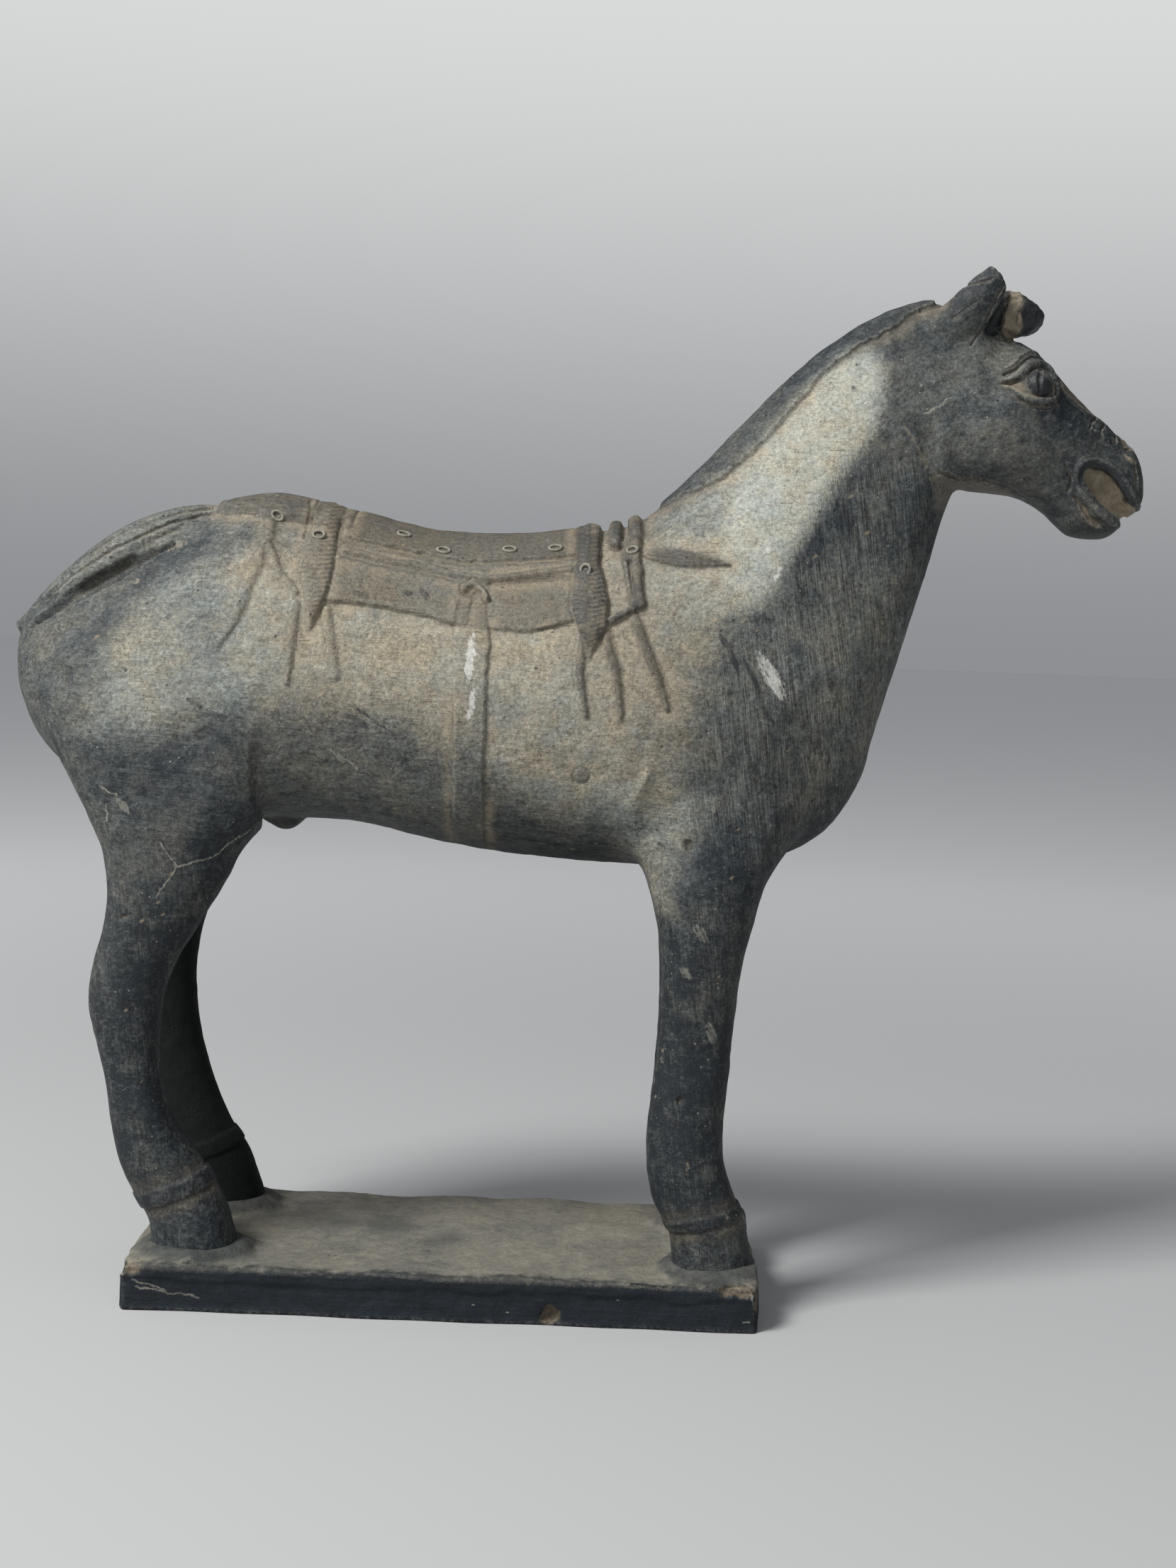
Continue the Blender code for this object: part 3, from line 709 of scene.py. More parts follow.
@dataclass(frozen=True)
class Saddlery:
    """Saddle pad, girth, tassels, buckle and cords, laid on the barrel as flat clay."""

    pad: Mark = Mark((
        (-46, HIGH), (-45, 253), (-47, 241), (-33, 240), (-13, 237), (-4, 234.5), (9, 233.5), (22, 233),
        (41, 238), (41, HIGH)), 1.1, harness=0.46)
    flap: Mark = Mark((
        (-46, HIGH), (-45, 253), (-47, 241), (-33, 240), (-13, 237), (-4, 234.5), (1, 234.2), (2, 244),
        (9, 249.8), (41, 252), (41, HIGH)), 1.5, harness=0.36)
    seat: Mark = Mark((
        (-44, HIGH), (-43.5, 262), (-26, 258.5), (-3, 255), (17, 256), (41, 259), (41, HIGH)), 2.4,
        harness=0.62)
    roll: Mark = Mark((
        (-42, 257.6, 1.3), (-31, 255.4, 1.4), (-24, 254.2, 1.4), (-14, 253, 1.4), (-5, 250.9, 1.3),
        (4.5, 250, 1.3), (12, 250.5, 1.3), (21, 251.9, 1.3), (36, 254.2, 1.2)), 2.5, crown=0.45, harness=0.5)
    crupper: Mark = Mark((
        (-93, HIGH), (-89, 271), (-78, 270.4), (-64, 268), (-54, 267.6), (-41, 266.5), (-40, HIGH)), 2.4,
        edge=2.2, harness=0.5)
    girth: Mark = Mark((
        (3, 249, 4.6), (2.5, 238, 5), (3, 229, 6.1), (3, 219, 5.6), (3.6, 200, 5.2), (3.5, 165, 5),
        (3.5, 150, 5)), 1.4, crown=0.2, harness=0.18, eases=(Ease(2, 154, 170),))
    straps: tuple[Mark, ...] = (
        Mark(((40.5, HIGH, 4.5), (41, 256, 4), (41.6, 250, 5.4), (42.2, 242, 6.3), (43.2, 236, 5),
              (42.6, 225.5, 0.6)), 3, crown=0.35, harness=0.88, ribs=0.22, eases=(Ease(2, 221, 237),)),
        Mark(((-50, HIGH, 4.6), (-49.5, 266, 4.3), (-50.8, 252, 5.6), (-50.3, 245, 4.6), (-51.4, 231.5, 0.5)),
             2.9, crown=0.35, harness=0.44, ribs=0.2, eases=(Ease(2, 227, 243),)),
        Mark(((50.3, HIGH, 2.3), (50.3, 264, 2.2)), 3, crown=0.3, harness=1),
        Mark(((57.2, HIGH, 2.5), (57.2, 264.5, 2.2)), 3, crown=0.3, harness=1),
        Mark(((53, 261, 1), (57, 242, 1.4)), 2.2, crown=0.4, harness=0.9),
        Mark(((56, 263.4, 3.3), (56.2, 260.4, 3.1)), 2.5, crown=0.2, harness=1),
        Mark(((57.4, 261, 2), (58.2, 249, 2), (58.9, 243.9, 2.4)), 2.4, crown=0.4, harness=1),
        Mark(((49.4, 237.9, 1.3), (59.4, 243.9, 1.3)), 2, crown=0.4, harness=0.9),
        Mark(((59.5, 260.5, 0.8), (64.7, 260.6, 2.4), (71.5, 259.7, 3), (78.2, 259.4, 2.3),
              (84.5, 258.8, 1.3), (88.7, 258.2, 0.4)), 1.3, crown=0.4, harness=0.8),
    )
    leaf_vein: Mark = dent(((62, 260.8, 0.45), (86, 258.7, 0.35)), 0.5, 0.8, ())
    pin: Mark = Mark((
        (-0.4, 246.2, 1.1), (2.6, 247.6, 1.3), (5.6, 245.8, 1.3), (7.6, 243.2, 0.8)), 3, crown=0.5,
        harness=0.5)
    windings: tuple[Mark, ...] = (
        dent(((-3, 231.2, 0.2), (9, 231.6, 0.2)), 0.35, 0.6, ()),
        dent(((-3, 229.2, 0.2), (9, 229.4, 0.2)), 0.35, 0.6, ()),
        dent(((-3, 227.2, 0.2), (9, 226.4, 0.2)), 0.3, 0.6, ()),
        dent(((-2, 240.4, 0.3), (8, 241.2, 0.3)), 0.4, 0.8, ()),
        dent(((0.2, 244.6, 0.6), (4.4, 243.6, 0.8)), 0.6, 0.9, ()),
    )
    cords: tuple[Mark, ...] = (
        Mark(((40.5, 231.7, 1.65), (39.6, 220.4, 1.65), (42.3, 205.8, 0.8)), 1, crown=0.6, harness=0.74),
        Mark(((47.6, 233.4, 1.65), (51.9, 220.8, 1.65), (54.1, 205.5, 0.8)), 1, crown=0.6, harness=0.74),
        Mark(((57, 240.9, 1.65), (61.7, 229, 1.75), (65.5, 219.6, 1.75), (69.5, 208.9, 0.8)), 1, crown=0.6,
             harness=0.74),
        Mark(((-56.3, 239.3, 1.55), (-57.1, 228, 1.45), (-57.9, 213, 0.7)), 0.8, crown=0.6, harness=0.4),
        Mark(((-46.3, 238, 1.45), (-44.1, 226.3, 1.45), (-41.9, 216.2, 1.55)), 0.8, crown=0.6, harness=0.3),
        Mark(((-68, 269.5, 1.65), (-68.2, 260.4, 1.75), (-71.8, 250.7, 2.15), (-74.2, 242, 2.15),
              (-76.7, 233.6, 1.85), (-81.6, 224.9, 0.8)), 0.9, crown=0.6, harness=0.3),
        Mark(((-67.3, 258.7, 1.45), (-63.1, 249.4, 1.55), (-56.6, 243.6, 0.9)), 0.9, crown=0.6, harness=0.3),
    )

    def marks(self) -> list[Mark]:
        """Every mark of the saddlery."""
        return [self.pad, self.flap, self.seat, self.roll, self.crupper, self.girth, *self.straps, self.pin,
                *self.windings, self.leaf_vein, *self.cords]


@dataclass(frozen=True)
class Face:
    """Worked marks of the head: cheek, brow, nose and chin."""

    folds: tuple[Mark, ...] = (
        Mark(((181.4, 329.2, 0.4), (184.7, 331.2, 0.7), (187, 334, 0.9), (190.5, 336, 0.9), (196, 335.4, 0.9),
              (200.2, 332.4, 0.8), (202.6, 328, 0.6)), 0.6, edge=1.2, way=Way.SWELLS, crown=0.5, eases=OUTER),
        Mark(((201, 326.8, 0.3), (202.6, 322.4, 0.5), (206.8, 318.9, 0.6), (211.2, 316, 0.6),
              (216.2, 313.8, 0.6), (221.4, 310.8, 0.6), (225.6, 308.4, 0.4)), 0.7, edge=0.9, way=Way.SWELLS,
             crown=0.5, eases=(Ease(1, 3, 5),)),
    )
    creases: tuple[Mark, ...] = (
        dent(((181, 327, 0.2), (185.2, 328.9, 0.4), (187.8, 331.7, 0.4), (191, 334, 0.4), (196, 333.4, 0.4),
              (199.4, 330.6, 0.4), (200.6, 326.6, 0.3)), 1, 0.6),
        dent(((180, 323.6, 0.2), (183, 323.9, 0.5), (186.6, 325, 0.4)), 1.1, 0.6),
        dent(((182, 321.2, 0.2), (186, 318, 0.3), (190.6, 316.3, 0.4), (196, 316, 0.3), (200.4, 317.6, 0.2)),
             0.7, 0.9),
        dent(((193.4, 328.6, 0.3), (192.7, 325.4, 0.5), (192.9, 321, 0.3)), 0.8, 0.9),
        dent(((214.8, 313.9, 0.25), (213.3, 312.8, 0.3), (212.5, 310.4, 0.15)), 0.9, 0.5, NOSTRIL),
        dent(((218.2, 311.9, 0.25), (216.5, 310.2, 0.3), (216.3, 308.4, 0.25), (217.4, 307.4, 0.15)), 0.9,
             0.5, NOSTRIL),
        dent(((223, 309.2, 0.25), (221.9, 307.8, 0.3), (222.2, 305.8, 0.15)), 0.8, 0.5, NOSTRIL),
        dent(((207.6, 286.6, 0.3), (210.6, 283.4, 0.7), (213.8, 279.6, 0.8), (217.4, 277.2, 0.5)), 1.3, 1.1),
        dent(((225.6, 303.6, 0.2), (227.9, 304.2, 0.35), (229.4, 302.9, 0.25)), 1.1, 0.5),
        dent(((228.2, 299.4, 0.2), (229.4, 294.6, 0.4), (229.6, 290, 0.2)), 0.7, 0.8),
        dent(((160.6, 292.6, 0.3), (168, 291.4, 0.5), (177, 291.6, 0.5), (186, 289.2, 0.4),
              (193.4, 285.6, 0.2)), 0.9, 1),
        dent(((203.6, 296.4, 0.2), (206.4, 292.6, 0.5), (205.4, 288.4, 0.3)), 0.9, 1.4),
        dent(((179.6, 357.2, 0.2), (177.4, 353.6, 0.4), (175.8, 349.7, 0.4), (174.4, 345.6, 0.5),
              (172.6, 341.2, 0.4), (169.8, 337, 0.2)), 1, 0.7, EAR),
        dent(((166, 356.8, 0.2), (170.6, 357.4, 0.4), (175.6, 359, 0.2)), 0.5, 0.9, EAR),
        dent(((163, 345.5, 0.2), (167.5, 349, 0.5), (172, 352.2, 0.2)), 0.4, 1.4, EAR),
    )
    thumbed: tuple[Thumbed, ...] = (
        Thumbed(176.5, 305, 14, 10.5, -12, 2.3),
        Thumbed(183, 296.5, 14, 4.5, -4, 0.9),
        Thumbed(156.5, 303, 4, 12, 4, -1.7),
        Thumbed(199.5, 306, 12, 5, -42, -1.5),
        Thumbed(179.5, 336, 6, 4, 40, -1.3),
        Thumbed(176.5, 322, 4.5, 7, 0, -1.1),
        Thumbed(192.5, 324, 10.5, 9, 0, 0.7),
        Thumbed(204.5, 311.5, 5, 3, -40, -0.7),
        Thumbed(215.6, 311.8, 2.3, 1.6, -40, 0.55, 2),
        Thumbed(219.4, 309.6, 2.4, 1.7, -40, 0.6, 2),
        Thumbed(223.4, 307.4, 2, 1.5, -40, 0.5, 2),
        Thumbed(226.6, 306.4, 2.8, 2, -50, -0.7, 1),
        Thumbed(228, 300.5, 3.2, 2.6, -60, 0.9, 1),
        Thumbed(216, 303.5, 8, 2.5, -38, -0.9),
        Thumbed(195, 287.5, 9, 2.6, -22, 0.8),
        Thumbed(163, 333, 5, 7, -60, -0.9),
        Thumbed(209, 277.5, 4, 2.6, -20, 0.7, 2),
    )
    crumbled: tuple[Mark, ...] = (
        Mark(((180.6, 339), (181.6, 357.5), (187.3, 357.5), (189.6, 353.4), (187, 349), (188.6, 344.4),
              (187.8, 339)), 1, edge=1),
        Mark(((188, 339), (187, 349), (189.6, 358), (200, 358), (200, 338)), 0.5, edge=1),
        Mark(((177.6, 362.6, 0.6), (180.2, 358.4, 0.9), (181, 355.8, 0.6)), 0.7, edge=1),
        Mark(MUZZLE, 0.5, edge=0.9),
        Mark(CHIN, 0.3, edge=1.2),
    )
    mouth: tuple[tuple[float, float], ...] = (
        (210.6, 291.7), (210, 293.9), (211, 296.1), (213.6, 296.9), (217.8, 295.9), (220.3, 294.2),
        (222.9, 291.4), (224.8, 288.3), (226.1, 286.1), (228, 284.4), (232.5, 281), (228, 276),
        (225.6, 278.6), (222.4, 280.3), (218.3, 283), (215.4, 285.6), (212.4, 289.2))

    def marks(self) -> list[Mark]:
        """Every mark of the head."""
        return [*self.folds, *self.creases]


@dataclass(frozen=True)
class Modelling:
    """Worked marks of the neck, the legs and the tail."""

    mane: Mark = Mark((
        (59, 275.5), (77, 283.6), (86, 288), (91, 293), (96, 297), (105.5, 307.5), (110.8, 314.2),
        (115.5, 319.8), (119.5, 325.5), (124.3, 329.3), (132, 335.5), (144.4, 342.2), (151, 348.4),
        (158, 351), (164, 365), (100, 365), (50, 290)), 1.2, edge=1)
    thigh: Mark = Mark((
        (-66, 250), (-67, 205), (-69, 190), (-70.5, 175.5), (-69, 163), (-74, 120), (-220, 120), (-220, 250)),
        3.2, edge=4.6, way=Way.SWELLS, fade=34, eases=(Ease(1, 14, 24), Ease(2, 206, 180), Ease(2, 150, 166)))
    elbow: Mark = Mark((
        (64.4, 188, 1), (61.5, 181.3, 2.2), (59.5, 176, 2.4), (60.5, 168, 1)), 0.9, edge=4, way=Way.SWELLS,
        crown=0.5)
    bands: tuple[Mark, ...] = (
        Mark(((-106, 33, 3.1), (-92, 38.2, 3.1), (-80, 43, 2.9)), 0.7, edge=0.7, crown=0.2),
        Mark(((76, 31.2, 2.1), (90, 34.7, 2.2), (103.5, 37.9, 2)), 0.7, edge=0.7, crown=0.2),
    )
    tail_hollow: Mark = dent((
        (-102, 259, 0.8), (-111, 254.5, 1.8), (-120, 248.8, 3), (-130, 243, 2.8), (-139, 237.4, 2.4),
        (-151, 230, 1.2)), 3.8, 1.5)
    tail_lines: tuple[Mark, ...] = (
        dent(((-86, 271.5, 0.3), (-104, 266, 0.5), (-122, 256.5, 0.5), (-138, 246, 0.4), (-150, 236, 0.3)),
             0.9, 1.1),
        dent(((-80, 273.5, 0.3), (-100, 270.5, 0.45), (-120, 262.5, 0.45), (-136, 252, 0.3)), 0.8, 1.1),
        dent(((-84, 268.6, 0.3), (-96, 265.5, 0.4), (-106, 261.8, 0.3)), 0.5, 1),
        dent(((-143, 243.5, 0.4), (-148, 238.5, 0.5), (-153, 236, 0.3)), 0.8, 1, ()),
    )
    crupper_lines: tuple[Mark, ...] = (
        dent(((-88, 274.6, 0.3), (-74, 275.2, 0.5), (-60, 273.6, 0.4), (-52, 272.5, 0.3)), 0.6, 1.1),
        dent(((-84, 271.8, 0.3), (-70, 272, 0.4), (-58, 270.4, 0.4)), 0.5, 1),
        dent(((-58, 277, 0.4), (-55.5, 270, 0.4), (-55.8, 262, 0.3)), 0.6, 1),
    )
    pits: tuple[Mark, ...] = (
        Mark(((41.2, 185.9, 2.1), (42, 185.5, 2.1)), 0.7, edge=0.9, near_only=True),
        dent(((41.5, 185.6, 2.9), (41.7, 185.8, 2.9)), 0.5, 0.7, (), near_only=True),
        dent(((78.5, 163.9, 1.2), (78.9, 162.5, 1.2)), 1.6, 1.2, (), near_only=True),
        dent(((79, 76.3, 0.8), (79.2, 75.5, 0.8)), 1.2, 1, (), near_only=True),
        dent(((-112, 131.6, 0.9), (-110.8, 132, 0.9)), 0.9, 1.2, (), near_only=True),
    )

    def marks(self) -> list[Mark]:
        """Every mark of the neck, legs and tail."""
        return [self.mane, self.thigh, self.elbow, *self.bands, self.tail_hollow, *self.tail_lines,
                *self.crupper_lines, *self.pits]


@dataclass(frozen=True)
class Horse:
    """Hollow clay horse: its lofted forms, the eyes and ears laid on, and its worked skin."""

    barrel: Loft = Loft((
        (-158.5, 226, -157.5, 210, 0, 8), (-155.5, 231, -152.5, 196, 0, 21), (-145, 241.5, -143, 183, 0, 31),
        (-127, 253.5, -125, 171, 0, 39), (-103, 266.5, -98, 163, 0, 43), (-72, 276, -70, 164, 0, 43.5),
        (-41, 271, -40, 164, 0, 42.5), (-10, 265, -8, 158, 0, 43), (20, 265.5, 24, 154, 0, 43.5),
        (47, 269.5, 52, 152.5, 0, 42.5), (57, 272, 69, 152, 0, 41.7), (67, 279.6, 87, 152, 0, 40.5),
        (78, 290.5, 111, 156.5, 0, 37.5), (87, 300, 129.5, 168, 0, 34), (95.5, 309, 139.5, 185, 0, 30.5),
        (104.5, 319, 144, 203, 0, 27), (114.5, 329, 149, 220, 0, 24), (125.5, 338, 154, 238, 0, 21.5),
        (138, 346, 159, 257, 0, 19.5), (151, 351.5, 163, 274, 0, 18),
        (161, 353, 167, 287, 0, 16.5)), square=2.15, egg=0.16)
    head: Loft = Loft((
        (158, 351, 156, 304, 0, 12), (170, 348.5, 162, 293, 0, 16), (182, 342.5, 172, 288, 0, 18),
        (192, 338.5, 183, 287, 0, 18.5), (199.5, 331.5, 193, 285, 0, 17.5),
        (206.5, 324.5, 200.5, 280.5, 0, 15.5), (215, 317, 205, 276, 0, 13.8), (223.5, 310, 209, 273, 0, 13),
        (230.5, 304, 216, 272.5, 0, 12.5), (233.6, 295, 222.5, 273.5, 0, 11),
        (234.2, 286, 227, 278, 0, 7.5)), square=2.3, egg=0.1)
    hind_leg: Loft = Loft((
        (-138, 232, -78, 232, 16, 15), (-148, 208, -68, 207, 22, 19.5), (-141, 189, -68, 189, 25.5, 19),
        (-129.5, 168, -67, 173, 27, 18), (-122.5, 152, -73.5, 156, 27.5, 16), (-120, 138, -80.5, 141, 28, 14),
        (-121.5, 125, -89, 127, 28.5, 12.5), (-125, 112, -96, 114, 29, 11.5),
        (-125.5, 99, -99.5, 101, 29, 11), (-122, 85, -100.5, 85, 29, 10.5),
        (-118.5, 71, -98.5, 71, 29.5, 10.3), (-116.5, 58, -94.5, 59, 30, 11), (-113.5, 46, -86, 48, 30, 12.3),
        (-108, 35, -79.5, 38.5, 30, 13), (-102.5, 25, -75, 29, 30, 13.3),
        (-102, 13, -70.5, 14, 30, 15)), square=2.2)
    far_thigh_back: tuple[float, ...] = (0, 0, -2.7, -5.6, -8, -8, -6.4, -2.4, 0, 2.8, 4, 4,
                                         0, 0, 0, 0)
    fore_leg: Loft = Loft((
        (60, 212, 110, 216, 14, 12), (56, 188, 119, 192, 18.5, 16.5), (58, 165, 118, 169, 22.5, 17.5),
        (65.5, 148, 107, 151, 25.5, 16.5), (69.5, 134, 102.5, 136, 27, 14.5), (70.5, 119, 99, 120, 28, 13),
        (71, 104, 97.5, 104, 28.5, 12), (70.2, 88, 96.3, 88, 29, 11.5), (68.8, 71, 95.4, 71, 29.5, 11.3),
        (68.2, 55, 95.2, 55, 30, 12), (70.5, 41, 99, 43.5, 30, 13), (76.5, 30, 104, 32, 30, 13.3),
        (78.5, 21, 106, 22, 30, 13.8), (78.5, 12, 107.5, 12.5, 30, 14.8)), square=2.2)
    far_slim_back: tuple[float, ...] = (0,) * 4 + (2.5,) * 7 + (0,) * 3
    far_slim_front: tuple[float, ...] = (0,) * 10 + (-2.5, -3.75, -3.75, -3.75)
    ear: Loft = Loft((
        (151, 342, 168, 330.5, 7, 4), (156.5, 347.5, 171, 337, 9.5, 4.8), (162, 352.3, 174.6, 344, 11.5, 4.4),
        (168, 358, 178.6, 350.5, 13, 3.4), (172.8, 362.5, 180.6, 356.5, 13.6, 2.5),
        (174.8, 364.2, 178.5, 361.6, 13.6, 1.6)), square=1.6)
    forelock: Loft = Loft((
        (176, 353, 174, 341, 0, 7), (182, 357.5, 180, 342, 0, 8.5), (187.5, 356.5, 187, 341.5, 0, 8),
        (192.5, 354, 192.5, 342.5, 0, 6.8), (196.3, 351, 196.3, 346, 0, 3.5)))
    sheath: Loft = Loft((
        (-74, 172, -72, 163.5, 0, 4), (-65, 172, -65, 159.8, 0, 6), (-59, 172, -60, 160.5, 0, 5.5),
        (-53, 172, -54, 166, 0, 3.5)))
    tail: Loft = Loft((
        (-84, 272.5, -89, 260, 0, 6), (-96, 273.6, -99, 252, 0, 12), (-108, 271, -109, 247, 0, 16.5),
        (-124, 263.2, -120, 240, 0, 19), (-138, 253.2, -131, 231, 0, 18), (-148, 243, -141, 226, 0, 14),
        (-155.5, 234.5, -150, 223.5, 0, 9), (-160.5, 229.5, -157, 224.5, 0, 5.5)), square=2.8)
    coils: tuple[Coil, ...] = (
        Coil(((179.8, 324.6, 0.6), (183.6, 326, 1.2), (187.1, 328.2, 1.5), (189.5, 330.4, 1.6),
              (192.4, 331.4, 1.6), (195.4, 330.8, 1.5), (198, 328.7, 1.3), (199.3, 325.6, 0.9)), 0.6),
        Coil(((181.6, 323.6, 0.5), (184.4, 321.8, 0.9), (187, 320, 1.1), (190, 318.6, 1.2),
              (193.5, 318, 1.25), (196.8, 318.6, 1.15), (199.4, 319.9, 0.8)), 0.5),
        Coil(((199.4, 326.4, 0.7), (200, 323.2, 0.9), (199.6, 320, 0.6)), 0.5),
        Coil(((208.8, 290.6, 0.9), (207.9, 294, 1.3), (209.6, 297.8, 1.6), (213.8, 299.2, 1.7),
              (218.6, 298, 1.8), (222.6, 295.2, 1.8), (225.6, 291.4, 1.8), (227.8, 287.9, 1.7),
              (230.2, 285.2, 1.6), (231.8, 283.6, 1.1)), -0.5),
        Coil(((208.4, 290.2, 0.9), (210.6, 287.4, 1.4), (213.8, 284.3, 1.6), (217.3, 281.3, 1.8),
              (220.6, 279.2, 1.8), (223.4, 278, 1.5)), -0.3),
    )
    mouth: Loft = Loft((
        (211.2, 294.6, 210.6, 292.4, 16, 8), (213.4, 297.2, 211.6, 290.8, 16, 9),
        (218, 296.2, 213.6, 287.8, 15.5, 9.2), (222.2, 292.8, 217, 284.4, 15, 9.4),
        (225.2, 288.6, 220.6, 281.6, 14, 9.8), (227.8, 284.8, 223.4, 280.2, 12.5, 10.6),
        (231, 281.4, 226.2, 276.6, 11, 11.8), (238, 279.5, 231, 270, 11, 12)), square=3)
    ear_gap: Loft = Loft((
        (174.6, 342, 179.6, 341.6, 9, 3.6), (176.4, 346.4, 181.4, 346.6, 9.2, 4.2),
        (178.4, 350.6, 182.6, 351, 9.8, 4), (180.8, 355.2, 184.2, 355.6, 10.4, 3.6),
        (184, 361, 187, 361.4, 10.6, 3.6)), square=2.6)
    tip: Loft = Loft((
        (176.2, 366, 178.2, 361.8, 13, 6), (178.6, 366, 179.4, 360.2, 13, 6), (182, 362, 181, 356.4, 13, 6),
        (184.5, 360, 183.5, 355.5, 13, 6)), square=3)
    broken: Loft = Loft((
        (179.5, 340, 187.4, 338, 12.5, 6.6), (180.5, 347, 186.6, 347, 12.5, 7),
        (181.8, 352, 188.2, 352.4, 12.5, 7.4), (182.5, 360, 189.5, 360, 12.5, 8)), square=3.4)
    eye_place: tuple[float, float] = (192.9, 323.8)
    eye_radius: float = 5.1
    eye_sunk: float = 1.9
    eye_rings: int = 24
    eye_around: int = 40
    rough_voxel: float = 1.6
    rough_softening: int = 14
    limb_heights: tuple[float, float] = (158, 196)
    limb_smear: int = 70
    fine_voxel: float = 0.58
    fine_softening: int = 8
    head_voxel: float = 0.36
    head_softening: int = 8
    score: float = 0.35
    triangles: int = 185000
    stretches: tuple[str, ...] = ("horse_rump", "horse_barrel", "horse_breast", "horse_head")
    cuts: tuple[Cut, ...] = (Cut(-61, 220, (1, 0)), Cut(50, 220, (1, 0)),
                             Cut(122, 328, (0.92, 0.39)))
    overlap: float = 4.0
    sink: float = 0.7
    saddlery: Saddlery = Saddlery()
    face: Face = Face()
    modelling: Modelling = Modelling()

    def form(self) -> Skin:
        """Fuse the big forms and smear the limbs into the barrel."""
        far_hind = self.hind_leg.shifted(2, self.far_thigh_back)
        far_fore = self.fore_leg.shifted(0, self.far_slim_back).shifted(2, self.far_slim_front)
        shells = [self.barrel.shell(), self.head.shell(), self.hind_leg.shell(Side.NEAR),
                  self.fore_leg.shell(Side.NEAR), far_hind.shell(Side.FAR), far_fore.shell(Side.FAR)]
        skin = Skin.wrapped(shells + [self.ear.shell(side) for side in Side], self.rough_voxel)
        skin.relax(self.rough_softening)
        _, y, z = skin.points.T
        low, high = self.limb_heights
        limbs = smooth_step(low - 12, low, z) * smooth_step(high + 12, high, z)
        skin.relax(self.limb_smear, limbs * smooth_step(8.0, 20.0, np.abs(y)))
        return skin

    def eyes(self, skin: BVHTree) -> list[Shell]:
        """Make the eyeballs and their lids, laid on the head.

        A ball's rings have radius R sin t at the height R cos t along y.
        """
        turn = np.linspace(0.06, math.pi - 0.06, self.eye_rings)
        angle = once_round(self.eye_around)
        ring = np.sin(turn)[:, None] * self.eye_radius
        up = np.broadcast_to(np.cos(turn)[:, None] * self.eye_radius, (self.eye_rings, self.eye_around))
        x, z = self.eye_place
        made = []
        for side in Side:
            y = side.value * (skin_level(skin, x, z, side) - self.eye_sunk)
            ball = np.stack([x + ring * np.cos(angle), y + up, z + ring * np.sin(angle)], axis=-1)
            made += [Shell.rings(ball), *(coil.shell(skin, side) for coil in self.coils)]
        return made

    def trunk(self, rough: Skin) -> Skin:
        """Wrap everything behind the head in finer skin, with the sheath and the tail."""
        body = rough.part(rough.normals(), None, self.cuts[-1], 2 * self.overlap, 0.0)
        skin = Skin.wrapped([body, self.sheath.shell(), self.tail.shell()], self.fine_voxel)
        skin.relax(self.fine_softening)
        self.work(skin)
        return skin

    def head_and_poll(self, rough: Skin) -> Skin:
        """Wrap the head in the finest skin, with the ears, the forelock's stump, eyes and lips.

        The mouth, the gaps behind the ears and the faces that the forelock broke along are cut
        out of it.
        """
        poll = rough.part(rough.normals(), self.cuts[-1], None, 2 * self.overlap, 0.0)
        carrier = poll.made("carrier")
        level = BVHTree.FromObject(carrier, bpy.context.evaluated_depsgraph_get())
        bpy.data.objects.remove(carrier, do_unlink=True)
        shells = [poll, self.forelock.shell(), *self.eyes(level), *(self.ear.shell(side) for side in Side)]
        knives = [knife.shell(side) for knife in (self.mouth, self.ear_gap, self.tip, self.broken)
                  for side in Side]
        skin = Skin.wrapped(shells, self.head_voxel, knives)
        skin.relax(self.head_softening)
        self.work(skin)
        return skin

    def marks(self) -> list[Mark]:
        """Every worked mark of the horse."""
        return self.saddlery.marks() + self.face.marks() + self.modelling.marks()

    def work(self, skin: Skin) -> None:
        """Move the skin out and in by the marks, and give it the unevenness of hand work.

        The move runs along the normal: the highest of the marks that are laid on, plus the ones
        that swell, less the ones that are sunk.
        """
        start = skin.points.copy()
        raised = np.zeros(len(start))
        other = np.sum([spot.lift(start) for spot in self.face.thumbed], axis=0)
        for mark in sorted(self.marks(), key=lambda mark: mark.rise):
            if mark.way is Way.LAID_ON:
                scored = self.score * min(1.0, mark.rise) * mark.foot(start, 0.4, 0.5)
                raised = np.maximum(raised - scored, mark.lift(start))
            else:
                other += mark.lift(start) * (1 if mark.way is Way.SWELLS else -1)
        uneven = 0.34 * lumps(start, 17.0, 1) + 0.2 * lumps(start, 7.0, 2) + 0.12 * lumps(start, 3.1, 3)
        crumbled = highest(self.face.crumbled, start)
        uneven += crumbled * (0.55 * lumps(start, 2.6, 4) + 0.4 * lumps(start, 1.2, 5))
        skin.points += skin.normals() * (raised + other + uneven)[:, None]
        low, high = (np.array(corner) / MM + inset for corner, inset in zip(CAD_BOX, (0.05, -0.05)))
        skin.points = np.clip(skin.points, low, high)

    def build(self) -> list[Piece]:
        """Make the finished stretches of clay, without their material."""
        rough = self.form()
        trunk, head = self.trunk(rough), self.head_and_poll(rough)
        ends = (None, *self.cuts, None)
        made = []
        for name, behind, ahead in zip(self.stretches, ends[:-1], ends[1:]):
            skin = trunk if ahead else head
            stretch = skin.part(skin.normals(), behind, ahead, self.overlap, self.sink)
            made.append(thinned(stretch, name, self.triangles))
        return made


